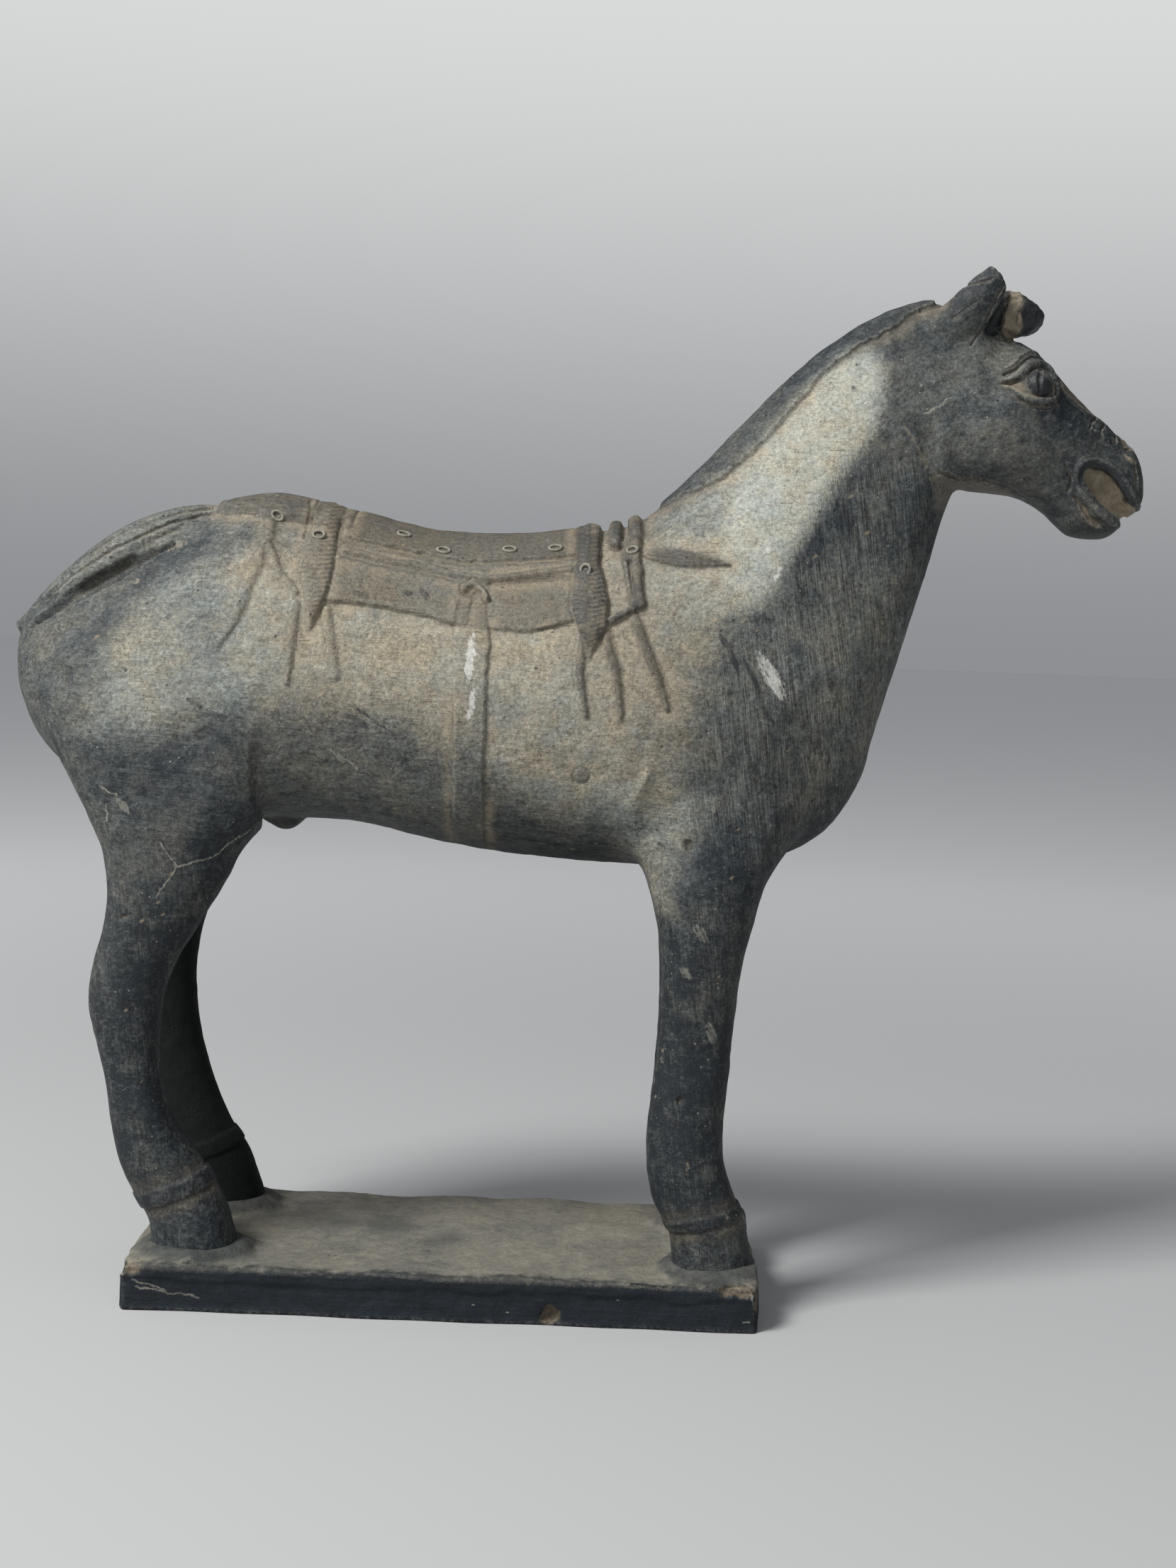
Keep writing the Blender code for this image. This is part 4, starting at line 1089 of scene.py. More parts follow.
@dataclass(frozen=True)
class Breath:
    """Area that the pale slip was breathed over, as an outline in side view with a soft edge.

    A strength below zero darkens an area instead: on the croup it is painted shade.
    """

    outline: Rows
    soft: float
    strength: float

    def cover(self, places: Array) -> Array:
        """How pale the slip leaves each place."""
        inside, _ = Mark(self.outline, 1.0).within(places[:, 0], places[:, 2])
        return self.strength * smooth_step(-self.soft, self.soft, inside)


@dataclass(frozen=True)
class Patina:
    """Where slip, smoke, dirt and rubbing lie on the horse, and where shade and highlights are painted on it,
    as numbers at its points.
    """

    slip: tuple[Breath, ...] = (
        Breath(((100, 247), (108, 262), (118, 276), (124, 288), (131, 298), (137, 307), (139.4, 318),
                (140, 328), (134, 333), (126, 329), (116, 320), (106, 307), (98, 296), (90, 282), (84, 266),
                (86, 250)), 5, 0.95),
        Breath(((62, 272), (80, 284), (98, 300), (112, 316), (126, 332), (138, 332), (120, 296), (112, 268),
                (104, 246), (80, 240)), 5, 0.5),
        Breath(((-122, 197), (-104, 195), (-88, 200), (-72, 204), (-56, 205), (-38, 205), (-18, 202),
                (0, 194), (10, 186), (24, 176), (40, 171), (54, 172), (66, 180), (74, 190), (80, 208),
                (86, 230), (96, 250), (84, 262), (60, 266), (-40, 266), (-86, 260), (-104, 250), (-114, 238),
                (-120, 222)), 11, 0.57),
        Breath(((-70, 176), (-40, 172), (0, 168), (10, 172), (0, 204), (-40, 212), (-70, 214)), 9, 0.16),
        Breath(((118, 180), (150, 200), (158, 240), (150, 262), (128, 262), (116, 220)), 12, 0.22),
        # Painted shade: the croup, where the lamp falls most strongly, is darkened.
        Breath(((-124, 226), (-82, 222), (-77, 240), (-80, 262), (-92, 262), (-112, 250)), 9, -0.38),
        Breath(((58, 196), (80, 200), (86, 228), (76, 240), (64, 226)), 8, -0.16),
        Breath(((64, 168), (84, 170), (94, 190), (106, 214), (114, 240), (98, 238), (86, 214), (74, 198)), 9,
               0.11),
        Breath(((-152, 238), (-120, 264), (-90, 280), (-50, 282), (-50, 266), (-90, 261), (-120, 252)), 5,
               0.22),
        Breath(((138, 250), (168, 290), (160, 330), (140, 335), (136, 300)), 9, 0.08),
        Breath(((-76, 216), (-30, 216), (10, 212), (28, 214), (34, 236), (10, 240), (-30, 244), (-74, 252)),
               8, 0.42),
        Breath(((16, 200), (50, 196), (60, 206), (56, 240), (20, 236)), 8, 0.3),
        Breath(((-170, 170), (-120, 165), (-100, 290), (-170, 270)), 14, 0.1),
        Breath(((70, 175), (100, 180), (118, 215), (124, 250), (100, 262), (74, 240)), 12, 0.08),
        Breath(((158, 300), (190, 304), (190, 340), (160, 346), (150, 330)), 9, 0.11),
        Breath(((56, 140), (74, 140), (84, 180), (66, 192), (50, 184)), 7, 0.3),
        Breath(((-146, 96), (-112, 96), (-108, 170), (-146, 170)), 10, 0.05),
    )
    warm: tuple[Breath, ...] = (
        Breath(((-70, 196), (80, 180), (92, 250), (60, 300), (-96, 300), (-80, 250)), 14, 1),)
    comb: tuple[Breath, ...] = (
        Breath(((78, 160), (160, 150), (172, 290), (128, 300), (104, 250), (84, 220)), 8, 1),
        Breath(((50, 10), (120, 10), (130, 150), (60, 150)), 8, 0.55),
        Breath(((-140, 10), (-60, 10), (-60, 160), (-140, 160)), 8, 0.5))
    bare: tuple[Mark, ...] = (
        Mark(((180.6, 344), (181.6, 357.5), (187.3, 357.5), (187.8, 354.5), (189.6, 353.4), (188.2, 351.7),
              (186.4, 349.7), (187.7, 346.8), (188.1, 344.4), (186.8, 341.2), (183.9, 339.8)), 1, edge=1),
        Mark(((179.6, 323.3), (186.8, 324.7), (189.2, 322.4), (187.4, 320.2), (183.6, 322)), 0.9, edge=1.2),
        # Painted highlight: a pale line along the top of the lower lid's roll.
        Mark(((184.4, 322.6, 0.2), (187, 321, 0.4), (190, 319.7, 0.4), (194, 319.2, 0.2)), 0.8, edge=0.6),
        Mark(MUZZLE, 0.8, edge=0.9),
        Mark(((225, 301.8, 0.5), (227.6, 299.8, 0.8)), 0.9, edge=0.5),
        Mark(CHIN, 0.7, edge=1.2),
        Mark(((201.6, 326.4), (202.6, 322.4), (206.8, 319.4), (211.2, 316.6), (216.2, 314.4), (222.6, 311),
              (226, 314), (206, 334)), 0.45, edge=1.2),
        Mark(((158, 294), (164, 291.2), (176, 290.6), (186, 288.4), (192, 284), (160, 280)), 0.4, edge=2),
        Mark(((197.9, 325.5, 0.3), (198.6, 322.3, 0.6), (198.4, 319.6, 0.3)), 0.6, edge=0.8),
    )
    black_and_gap_shade: tuple[Mark, ...] = (
        # The first patch is painted shade: the gap between the ear and the forelock's stump is coloured near
        # black.
        Mark(((174.6, 341.5), (177, 349), (181.2, 357), (184, 357), (182.4, 350), (181.4, 343), (178, 340.4)),
             1, edge=0.8, eases=(Ease(1, 13.6, 12.2),)),
        Mark(((188.8, 356), (186.6, 349.7), (187.9, 346.8), (188.3, 344.4), (187, 340), (200, 338),
              (200, 358)), 0.9, edge=1),
        Mark(((192, 324.6, 3.4), (193.8, 322.9, 3.4)), 0.95, edge=1.4),
        Mark(((209.4, 293.6, 0.4), (210.6, 297.4, 0.8), (214.2, 298.2, 0.9), (218.3, 297, 0.9),
              (221.8, 294.4, 1), (224.4, 290.6, 1.1), (226.4, 287.2, 1.1), (229, 284.8, 0.7)), 0.85, edge=1),
        Mark(((207, 300), (204, 296), (205, 288), (209.6, 291.4), (209.6, 296)), 0.55, edge=2.4),
        Mark(((36.6, 254), (36.6, 268), (45.4, 268), (45.4, 254)), 0.45, edge=1.4),
        Mark(((36.6, 255), (24, 257), (12, 258.6), (12, 263), (36.6, 262)), 0.16, edge=4),
    )

    def paint(self, piece: Piece, horse: Horse) -> None:
        """Give the piece its numbers, each an attribute of the mesh.

        Args:
            piece: A stretch of the horse.
            horse: The sizes that it was made from.
        """
        mesh = piece.data
        places = pulled(mesh.vertices, "co", 3) / MM
        harness, crease_shade_and_dirt, soil = np.zeros((3, len(places)))
        # Dark lines at the feet of laid-on marks and inside sunk marks are painted shade, with dark dirt.
        for mark in horse.marks():
            if mark.harness:
                cover = np.clip(mark.lift(places) / mark.rise * 1.6, 0, 1)
                harness = np.maximum(harness, mark.harness * cover)
            if mark.way is Way.LAID_ON:
                crease_shade_and_dirt = np.maximum(crease_shade_and_dirt, mark.foot(places, 0.42, 0.35))
                soil = np.maximum(soil, min(1.0, mark.rise / 1.6) * mark.foot(places, 1.9, 1.9))
            elif mark.way is Way.SUNK:
                crease_shade_and_dirt = np.maximum(crease_shade_and_dirt, 0.8 * mark.lift(places) / mark.rise)
        mouth = Mark(horse.face.mouth, 1.0, edge=0.8).lift(places)
        mouth *= smooth_step(10.4, 9.0, np.abs(places[:, 1]))
        keep(mesh, "pale", laid(self.slip, places))
        keep(mesh, "warm", laid(self.warm, places))
        keep(mesh, "comb", laid(self.comb, places))
        keep(mesh, "bare", highest(self.bare, places))
        keep(mesh, "black_and_gap_shade", highest(self.black_and_gap_shade, places))
        keep(mesh, "harness", harness)
        keep(mesh, "crease_shade_and_dirt", crease_shade_and_dirt)
        keep(mesh, "soil", soil)
        keep(mesh, "mouth", mouth)
        keep_curvature(mesh)


def laid(breaths: Iterable[Breath], places: Array) -> Array:
    """Cover of several soft areas together, 1 less the product of what each leaves bare."""
    bare = np.ones(len(places))
    for breath in breaths:
        bare *= 1 - breath.cover(places)
    return 1 - bare


def highest(marks: Iterable[Mark], places: Array) -> Array:
    """Cover of several marks together, the greatest at each place."""
    return np.maximum.reduce([mark.lift(places) for mark in marks])


def keep(mesh: bpy.types.Mesh, name: str, numbers: Array) -> None:
    """Keep numbers at a mesh's points, as an attribute."""
    mesh.attributes.new(name, "FLOAT", "POINT").data.foreach_set("value", numbers)


def curvature(mesh: bpy.types.Mesh) -> Array:
    """How hollow a mesh is at each point, in one over millimetres, below zero where it bulges.

    It is the mean over a point's edges of the edge's height over the tangent plane, divided by
    the edge's length squared, and then smoothed twice.
    """
    places = pulled(mesh.vertices, "co", 3) / MM
    normals = pulled(mesh.vertex_normals, "vector", 3)
    low, high = pulled(mesh.edges, "vertices", 2, np.int32).T
    count = len(places)
    run = places[high] - places[low]
    length = np.maximum((run * run).sum(axis=1), 1e-4)
    rise_low = (run * normals[low]).sum(axis=1) / length
    rise_high = -(run * normals[high]).sum(axis=1) / length
    degree = np.maximum(np.bincount(low, minlength=count) + np.bincount(high, minlength=count), 1)
    bend = (np.bincount(low, rise_low, count) + np.bincount(high, rise_high, count)) / degree
    for _ in range(2):
        around = (np.bincount(low, bend[high], count) + np.bincount(high, bend[low], count)) / degree
        bend = 0.5 * (bend + around)
    return bend


def keep_curvature(mesh: bpy.types.Mesh) -> None:
    """Keep where a mesh is hollow and where it is ridged, from 0 to 1, as attributes."""
    bend = curvature(mesh)
    keep(mesh, "hollow", smooth_step(0.03, 0.3, bend))
    keep(mesh, "ridge", smooth_step(0.04, 0.3, -bend))


@dataclass(frozen=True)
class Chip:
    """Chip knocked out of the slab: its place, its reach along the three axes and its depth."""

    place: tuple[float, float, float]
    reach: tuple[float, float, float]
    depth: float


@dataclass(frozen=True)
class Slab:
    """Hand-cut slab with worn, uneven edges, a few chips and a flat underside."""

    length: float = 217.0
    depth: float = 106.0
    thick: float = 15.5
    corner: float = 2.4
    round: float = 1.5
    wave: float = 0.9
    around: int = 760
    under_rows: int = 8
    side_rows: int = 20
    top_rows: int = 52
    chips: tuple[Chip, ...] = (
        Chip((103, -53, 15.5), (9, 3.2, 3.4), 2.2),
        Chip((108.5, -50, 11), (3, 4, 6), 1.2),
        Chip((38, -53, 3.4), (3.4, 3, 3.6), 2.6),
        Chip((-106, -50, 14), (6, 5, 3), 1.6),
    )
    hooves: Rows = ((-86.2, 30, 16.4, 15.4), (-86.2, -30, 16.4, 15.4), (93, 30, 15.2, 15.2),
                    (93, -30, 15.2, 15.2))
    fillet: float = 3.4

    def smear(self, points: Array) -> Array:
        """Height of the clay smeared up against the hooves, given as x, y and half widths.

        It falls smoothly to nothing over 8 mm outside each hoof's oval, and is uneven.
        """
        away = [np.hypot((points[:, 0] - x) / long, (points[:, 1] - y) / wide)
                for x, y, long, wide in self.hooves]
        out = 15.0 * (np.minimum.reduce(away) - 1) + 2.0 * lumps(points, 5.0, 17)
        return self.fillet * smooth_step(8.0, 0.0, out) ** 2

    def edge(self, inset: Array) -> tuple[Array, Array]:
        """Follow the slab's outline, a rectangle with rounded corners.

        Args:
            inset: How far inside the outline each ring lies.

        Returns:
            The rings' points in plan, and the outline's outward directions.
        """
        long, deep = self.length / 2 - self.corner, self.depth / 2 - self.corner
        bend = 0.5 * math.pi * self.corner
        total = 4 * (long + deep + bend)
        s = np.linspace(0.0, total, self.around, endpoint=False)
        lengths = [2 * deep, bend, 2 * long, bend, 2 * deep, bend, 2 * long, bend]
        ends = np.cumsum(lengths)
        part = np.searchsorted(ends, s, side="right")
        within = (s - (ends - lengths)[part]) / np.asarray(lengths)[part]
        corners = np.array([[long, -deep], [long, deep], [long, deep], [-long, deep], [-long, deep],
                            [-long, -deep], [-long, -deep], [long, -deep], [long, -deep]])
        centre = corners[part] + within[:, None] * (corners[part + 1] - corners[part])
        turn = np.where(part % 2 == 1, (part // 2 + within) * math.pi / 2, part // 2 * math.pi / 2)
        out = np.stack([np.cos(turn), np.sin(turn)], axis=1)
        return centre[None] + (self.corner - inset)[:, None, None] * out[None], out

    def build(self) -> Piece:
        """Make the slab.

        Rings follow the outline. They run in under the slab, up its side with a quarter round at
        each edge, and over the top, where they shrink to the middle.
        """
        quarter = np.linspace(0.0, math.pi / 2, 5)
        curve, rise = self.round * (1 - np.sin(quarter)), self.round * (1 - np.cos(quarter))
        side = np.linspace(self.round, self.thick - self.round, self.side_rows)
        inset = np.concatenate([curve[:-1], np.zeros(self.side_rows), curve[::-1][1:]])
        height = np.concatenate([rise[:-1], side, self.thick - rise[::-1][1:]])
        rings, out = self.edge(inset)
        shrink = np.concatenate([np.linspace(0.05, 0.999, self.under_rows), np.ones(len(inset)),
                                 np.linspace(0.985, 0.02, self.top_rows)])
        flat = np.concatenate([np.repeat(rings[:1], self.under_rows, axis=0), rings,
                               np.repeat(rings[-1:], self.top_rows, axis=0)])
        flat = flat * shrink[:, None, None]
        z = np.concatenate([np.zeros(self.under_rows), height, np.full(self.top_rows, self.thick)])
        grid = np.dstack([flat, np.broadcast_to(z[:, None], flat.shape[:2])])
        points = grid.reshape(-1, 3)
        x, y, z = points.T.copy()
        up = smooth_step(0.0, self.thick, z)
        rim = smooth_step(0.9, 1.0, np.repeat(shrink, self.around))
        phase = 2.1 - 1.5 * up
        sway = (np.sin(x / 17 + phase) + np.sin(x / 6.3 - 2 * phase + y / 21)
                + np.sin(y / 13 + 1.7 * phase)) / 3
        end = (np.sin(y / 17 + 1.3) + np.sin(y / 6.3 - 2.6 + x / 21) + np.sin(x / 13 + 2.2)) / 3
        lie = (np.sin(x / 17) + np.sin(x / 6.3 + y / 21) + np.sin(y / 13)) / 3
        way = np.tile(out, (len(grid), 1))
        points[:, 1] += self.wave * rim * sway * way[:, 1]
        points[:, 0] += self.wave * rim * end * way[:, 0]
        points[:, 2] += self.wave * lie * up
        rough = 0.25 * lumps(points, 3.0, 11) + 0.3 * lumps(points, 9.0, 12)
        ledge = 0.8 * smooth_step(9.5, 12.0, z + 1.2 * lumps(points * (1, 0, 0), 14.0, 13)) - 0.8
        cut = np.zeros(len(points))
        for chip in self.chips:
            away = np.linalg.norm((points - chip.place) / chip.reach, axis=1)
            cut += chip.depth * smooth_step(1.15, 0.55, away + 0.25 * lumps(points, 2.2, 14))
        foot = smooth_step(0.0, 2.0, z)
        points[:, :2] += (rim * foot * (rough + ledge * smooth_step(-50.0, -52.0, y) - cut))[:, None] * way
        points[:, 2] += foot * smooth_step(12.0, 15.0, z) * (0.25 * lumps(points, 8.0, 15)
                                                            + 0.1 * lumps(points, 2.6, 16) - 0.6 * cut
                                                            + self.smear(points))
        points = np.clip(points, (-108.6, -53.3, 0.0), (108.6, 53.4, 20.0))
        made = Shell.rings(points.reshape(grid.shape)).made("slab")
        poles = (0.0, 0.0)
        keep(made.data, "smear", np.append(smooth_step(0.0, 0.3 * self.fillet, self.smear(points)), poles))
        keep(made.data, "chip", np.append(smooth_step(0.2, 1.0, cut), poles))
        keep_curvature(made.data)
        return made


@dataclass(frozen=True)
class Rosettes:
    """Small rings pressed on the saddle and straps, as rows of x, z, long and short half widths."""

    places: Rows = ((-22.9, 264.9, 2.1, 1.4), (-8.7, 259.8, 2.1, 1.5), (13.9, 261, 2.1, 1.5),
                    (29.6, 262, 2.1, 1.5), (40.3, 254.8, 1.9, 1.6), (-50.9, 263.4, 1.9, 1.5),
                    (56, 262.2, 1.8, 1.4), (-66, 269.6, 2, 1.4))
    wire: float = 0.5
    raised: float = 0.2
    long: int = 36
    short: int = 12

    def build(self, stretches: Iterable[Piece]) -> Piece:
        """Lay the rings on both sides of the horse.

        A ring's wire follows an oval on the skin's slope, and the wire's own ring is a circle
        between the way out from the oval's middle and the way out from the skin.

        Args:
            stretches: The horse's finished stretches.
        """
        graph = bpy.context.evaluated_depsgraph_get()
        skins = [BVHTree.FromObject(stretch, graph) for stretch in stretches]
        turn = once_round(self.long)[:, None, None]
        round_wire = once_round(self.short)[None, :, None]
        shells = []
        for side in Side:
            for x, z, long, short in self.places:
                hits = [struck(skin, x, z, side) for skin in skins]
                hit, normal = max((h for h in hits if h[0]), key=lambda h: side.value * h[0].y)
                middle, out = np.array(hit) / MM, np.array(normal)
                along = np.cross((0.0, 1.0, 0.0), out)
                along /= np.linalg.norm(along)
                across = np.cross(out, along)
                spoke = along * np.cos(turn) * long + across * np.sin(turn) * short
                wire = unit(spoke) * np.cos(round_wire) + out * np.sin(round_wire)
                shells.append(Shell.hoop(middle + out * self.raised + spoke + self.wire * wire))
        return Shell.joined(shells).made("rosettes")


Colour = tuple[float, float, float]


class Num:
    """A number that varies over a surface: a node's socket that takes part in arithmetic."""

    def __init__(self, bench: "Bench", socket: Socket) -> None:
        """Keep the socket and the bench that it stands on."""
        self.bench = bench
        self.socket = socket

    def __add__(self, other: "Num | float") -> "Num":
        """Sum."""
        return self.bench.maths("ADD", self, other)

    def __radd__(self, other: float) -> "Num":
        """Sum, the number first."""
        return self.bench.maths("ADD", other, self)

    def __sub__(self, other: "Num | float") -> "Num":
        """Difference."""
        return self.bench.maths("SUBTRACT", self, other)

    def __rsub__(self, other: float) -> "Num":
        """Difference, the number first."""
        return self.bench.maths("SUBTRACT", other, self)

    def __mul__(self, other: "Num | float") -> "Num":
        """Product."""
        return self.bench.maths("MULTIPLY", self, other)

    def __rmul__(self, other: float) -> "Num":
        """Product, the number first."""
        return self.bench.maths("MULTIPLY", other, self)

    def step(self, low: float, high: float) -> "Num":
        """Turn smoothly from 0 at low to 1 at high, low being above high for the other way round."""
        if low > high:
            return 1 - self.step(high, low)
        ease = {"interpolation_type": "SMOOTHSTEP"}
        made = self.bench.node("ShaderNodeMapRange", ease, {"Value": self, "From Min": low, "From Max": high})
        return Num(self.bench, made.outputs["Result"])

    def most(self, other: "Num | float") -> "Num":
        """The greater of two."""
        return self.bench.maths("MAXIMUM", self, other)

    def held(self) -> "Num":
        """Hold between 0 and 1."""
        return self.bench.maths("MINIMUM", self.most(0.0), 1.0)

    @staticmethod
    def most_of(several: Sequence["Num"]) -> "Num":
        """The greatest of several."""
        return reduce(Num.most, several)


class Bench:
    """Where shader nodes are put together."""

    def __init__(self, tree: bpy.types.NodeTree) -> None:
        """Clear a tree of nodes to start on."""
        self.tree = tree
        tree.nodes.clear()

    def node(self, kind: str, settings: dict[str, Any] | None = None,
             inputs: dict[int | str, Any] | None = None) -> bpy.types.Node:
        """Add a node.

        Args:
            kind: Its type.
            settings: Its properties, which are set first.
            inputs: Value, colour, Num or socket for each named or numbered input.

        Returns:
            The node.
        """
        made = self.tree.nodes.new(kind)
        for name, value in (settings or {}).items():
            setattr(made, name, value)
        for key, value in (inputs or {}).items():
            source = value.socket if isinstance(value, Num) else value
            if isinstance(source, Socket):
                self.tree.links.new(source, made.inputs[key])
            elif isinstance(source, tuple) and len(made.inputs[key].default_value) == 4:
                made.inputs[key].default_value = (*source, 1.0)
            else:
                made.inputs[key].default_value = source
        return made

    def maths(self, operation: str, first: Num | float, second: Num | float) -> Num:
        """Add a Math node on two values."""
        made = self.node("ShaderNodeMath", {"operation": operation}, {0: first, 1: second})
        return Num(self, made.outputs[0])

    def vector(self, operation: str, inputs: dict[int | str, Any]) -> bpy.types.Node:
        """Add a Vector Math node."""
        return self.node("ShaderNodeVectorMath", {"operation": operation}, inputs)

    def mix(self, share: Num | float, low: Any, high: Any) -> Socket:
        """Mix two colours or their sockets, share being how much there is of the second."""
        made = self.node("ShaderNodeMix", {"data_type": "RGBA"}, {0: share, 6: low, 7: high})
        return made.outputs[2]

    def dot(self, first: Any, second: Any) -> Num:
        """Dot product of two vectors."""
        return Num(self, self.vector("DOT_PRODUCT", {0: first, 1: second}).outputs["Value"])

    def tinted(self, colour: Any, tint: Any) -> Socket:
        """Multiply two colours."""
        return self.vector("MULTIPLY", {0: colour, 1: tint}).outputs[0]

    def shaded(self, colour: Any, share: Num | float) -> Socket:
        """Multiply a colour by a number."""
        return self.vector("SCALE", {0: colour, "Scale": share}).outputs[0]


class Finish(Bench):
    """Where one material is put together, lengths being millimetres."""

    def __init__(self, name: str) -> None:
        """Start a material of a name, its colour not mixed yet."""
        self.colour: Socket | None = None
        self.material = bpy.data.materials.new(name)
        self.material.use_nodes = True
        super().__init__(self.material.node_tree)
        self.shader = self.node("ShaderNodeBsdfPrincipled")
        self.node("ShaderNodeOutputMaterial", inputs={"Surface": self.shader.outputs["BSDF"]})
        metres = self.node("ShaderNodeTexCoord").outputs["Object"]
        self.place = self.shaded(metres, 1 / MM)
        axes = self.node("ShaderNodeSeparateXYZ", inputs={0: self.place}).outputs
        self.x, self.y, self.z = (Num(self, axis) for axis in axes)
        self.flat = {View.SIDE: self.shaken(self.z), View.PLAN: self.shaken(self.y)}

    def shaken(self, up: Num) -> Socket:
        """Places in a flat view, x and another axis, each moved up to 1 mm by a fine noise."""
        flat = self.node("ShaderNodeCombineXYZ", None, {"X": self.x, "Z": up})
        noise = {"Vector": self.place, "Scale": 0.24, "Detail": 5.0, "Roughness": 0.72}
        stir = self.node("ShaderNodeTexNoise", None, noise).outputs["Color"]
        centred = self.vector("SUBTRACT", {0: stir, 1: (0.5, 0.5, 0.5)}).outputs[0]
        return self.vector("MULTIPLY_ADD", {0: centred, 1: (3.6, 0.0, 3.6), 2: flat.outputs[0]}).outputs[0]

    def attribute(self, name: str) -> Num:
        """Read a number that the mesh keeps at its points."""
        return Num(self, self.node("ShaderNodeAttribute", {"attribute_name": name}).outputs["Fac"])

    def spread(self, size: float, stretch: Colour, shift: float, tilt: float) -> Socket:
        """Places for a pattern, by its cells' size and stretch, which part of it, and its tilt."""
        made = self.node("ShaderNodeMapping", {"vector_type": "TEXTURE"}, {
            "Vector": self.place, "Scale": tuple(size * share for share in stretch),
            "Location": (41.0 * shift, 17.0 * shift, 29.0 * shift),
            "Rotation": (0.0, -math.radians(tilt), 0.0)})
        return made.outputs[0]

    def noise(self, size: float, detail: float = 2.0, shift: float = 0.0, stretch: Colour = (1.0, 1.0, 1.0),
              rough: float = 0.55, tilt: float = 0.0, warp: float = 0.0) -> Num:
        """Noise around 0, mostly between -0.5 and 0.5.

        Args:
            size: Size of its largest cells.
            detail: Finer layers.
            shift: Which part of the pattern.
            stretch: Length of the cells along each axis.
            rough: Strength of the finer layers.
            tilt: Degrees that it is turned by in side view.
            warp: How twisted it is.
        """
        places = self.spread(size, stretch, shift, tilt)
        made = self.node("ShaderNodeTexNoise", None, {"Vector": places, "Scale": 1.0, "Detail": detail,
                                                      "Roughness": rough, "Distortion": warp})
        return (Num(self, made.outputs[0]) - 0.5) * 1.6

    def hatch(self, tilt: float, shift: float, length: float = 12.0, width: float = 0.5) -> Num:
        """Sparse fine strokes: the crests of a noise that is stretched along them."""
        streaks = self.noise(1.0, 2.0, shift, (length, 1.5, width), 0.5, tilt, 0.4)
        return streaks.step(0.22, 0.42)

    def specks(self, size: float, radius: float, share: float, shift: float = 0.0,
               stretch: Colour = (1.0, 1.0, 1.0), tilt: float = 0.0) -> Num:
        """Scattered specks.

        Args:
            size: Their spacing.
            radius: Their radius, as a share of the spacing.
            share: Share of the cells that hold a speck.
            shift: Which part of the pattern.
            stretch: Length of the specks along each axis.
            tilt: Degrees that they are turned by in side view.
        """
        made = self.node("ShaderNodeTexVoronoi", None,
                         {"Vector": self.spread(size, stretch, shift, tilt), "Scale": 1.0})
        pick = self.node("ShaderNodeSeparateColor", None, {0: made.outputs["Color"]})
        chosen = Num(self, pick.outputs[0]).step(1 - share, 1 - share + 0.02)
        far = Num(self, made.outputs["Distance"]) + Num(self, pick.outputs[1]) * (0.6 * radius)
        return far.step(radius, 0.55 * radius) * chosen

    def line(self, run: Sequence[float], width: float, view: View = View.SIDE) -> Num:
        """A scratch or crack, from one place to another.

        The distance from a place to the stretch is the length of what is left of the way to its
        start once the part along the stretch is taken off.

        Args:
            run: x and height of its start, x and height of its end.
            width: Its half width.
            view: Which way it is looked at.
        """
        start, end = np.array((run[0], 0.0, run[1])), np.array((run[2], 0.0, run[3]))
        way = end - start
        flat = self.vector("SUBTRACT", {0: self.flat[view], 1: tuple(start)}).outputs[0]
        along = self.dot(flat, tuple(way / (way @ way))).held()
        rest = self.vector("DISTANCE", {0: flat, 1: self.shaded(tuple(way), along)})
        return Num(self, rest.outputs["Value"]).step(width * 1.5, width * 0.5)

    def oval(self, x: float, z: float, long: float, short: float, tilt: float, view: View = View.SIDE) -> Num:
        """A patch that fades out from the middle of its oval.

        Args:
            x: Its middle along the horse.
            z: Its middle's height, or its middle's y in plan.
            long: Its half length.
            short: Its half width.
            tilt: Degrees that its length rises by towards +X.
            view: Which way it is looked at.
        """
        made = self.node("ShaderNodeMapping", {"vector_type": "TEXTURE"},
                         {"Vector": self.flat[view], "Location": (x, 0.0, z),
                          "Rotation": (0.0, -math.radians(tilt), 0.0), "Scale": (long, 1.0, short)})
        reach = self.vector("LENGTH", {0: made.outputs[0]})
        return Num(self, reach.outputs["Value"]).step(1.5, 0.2)

    def coat(self, share: Num, strength: float, tint: Any) -> None:
        """Lay a tint over the colour so far, by the share that is held to 0 and 1 and its strength."""
        self.colour = self.mix(share.held() * strength, self.colour, tint)

    def finish(self, roughness: Num, height: Num) -> bpy.types.Material:
        """Plug the finish together, in the colour so far.

        Args:
            roughness: Its roughness.
            height: Its fine relief, in millimetres.

        Returns:
            The material.
        """
        bump = self.node("ShaderNodeBump", None, {"Height": height, "Distance": MM, "Strength": 1.0})
        sockets = self.shader.inputs
        self.tree.links.new(self.colour, sockets["Base Color"])
        self.tree.links.new(roughness.socket, sockets["Roughness"])
        self.tree.links.new(bump.outputs[0], sockets["Normal"])
        sockets["Specular IOR Level"].default_value = 0.35
        return self.material


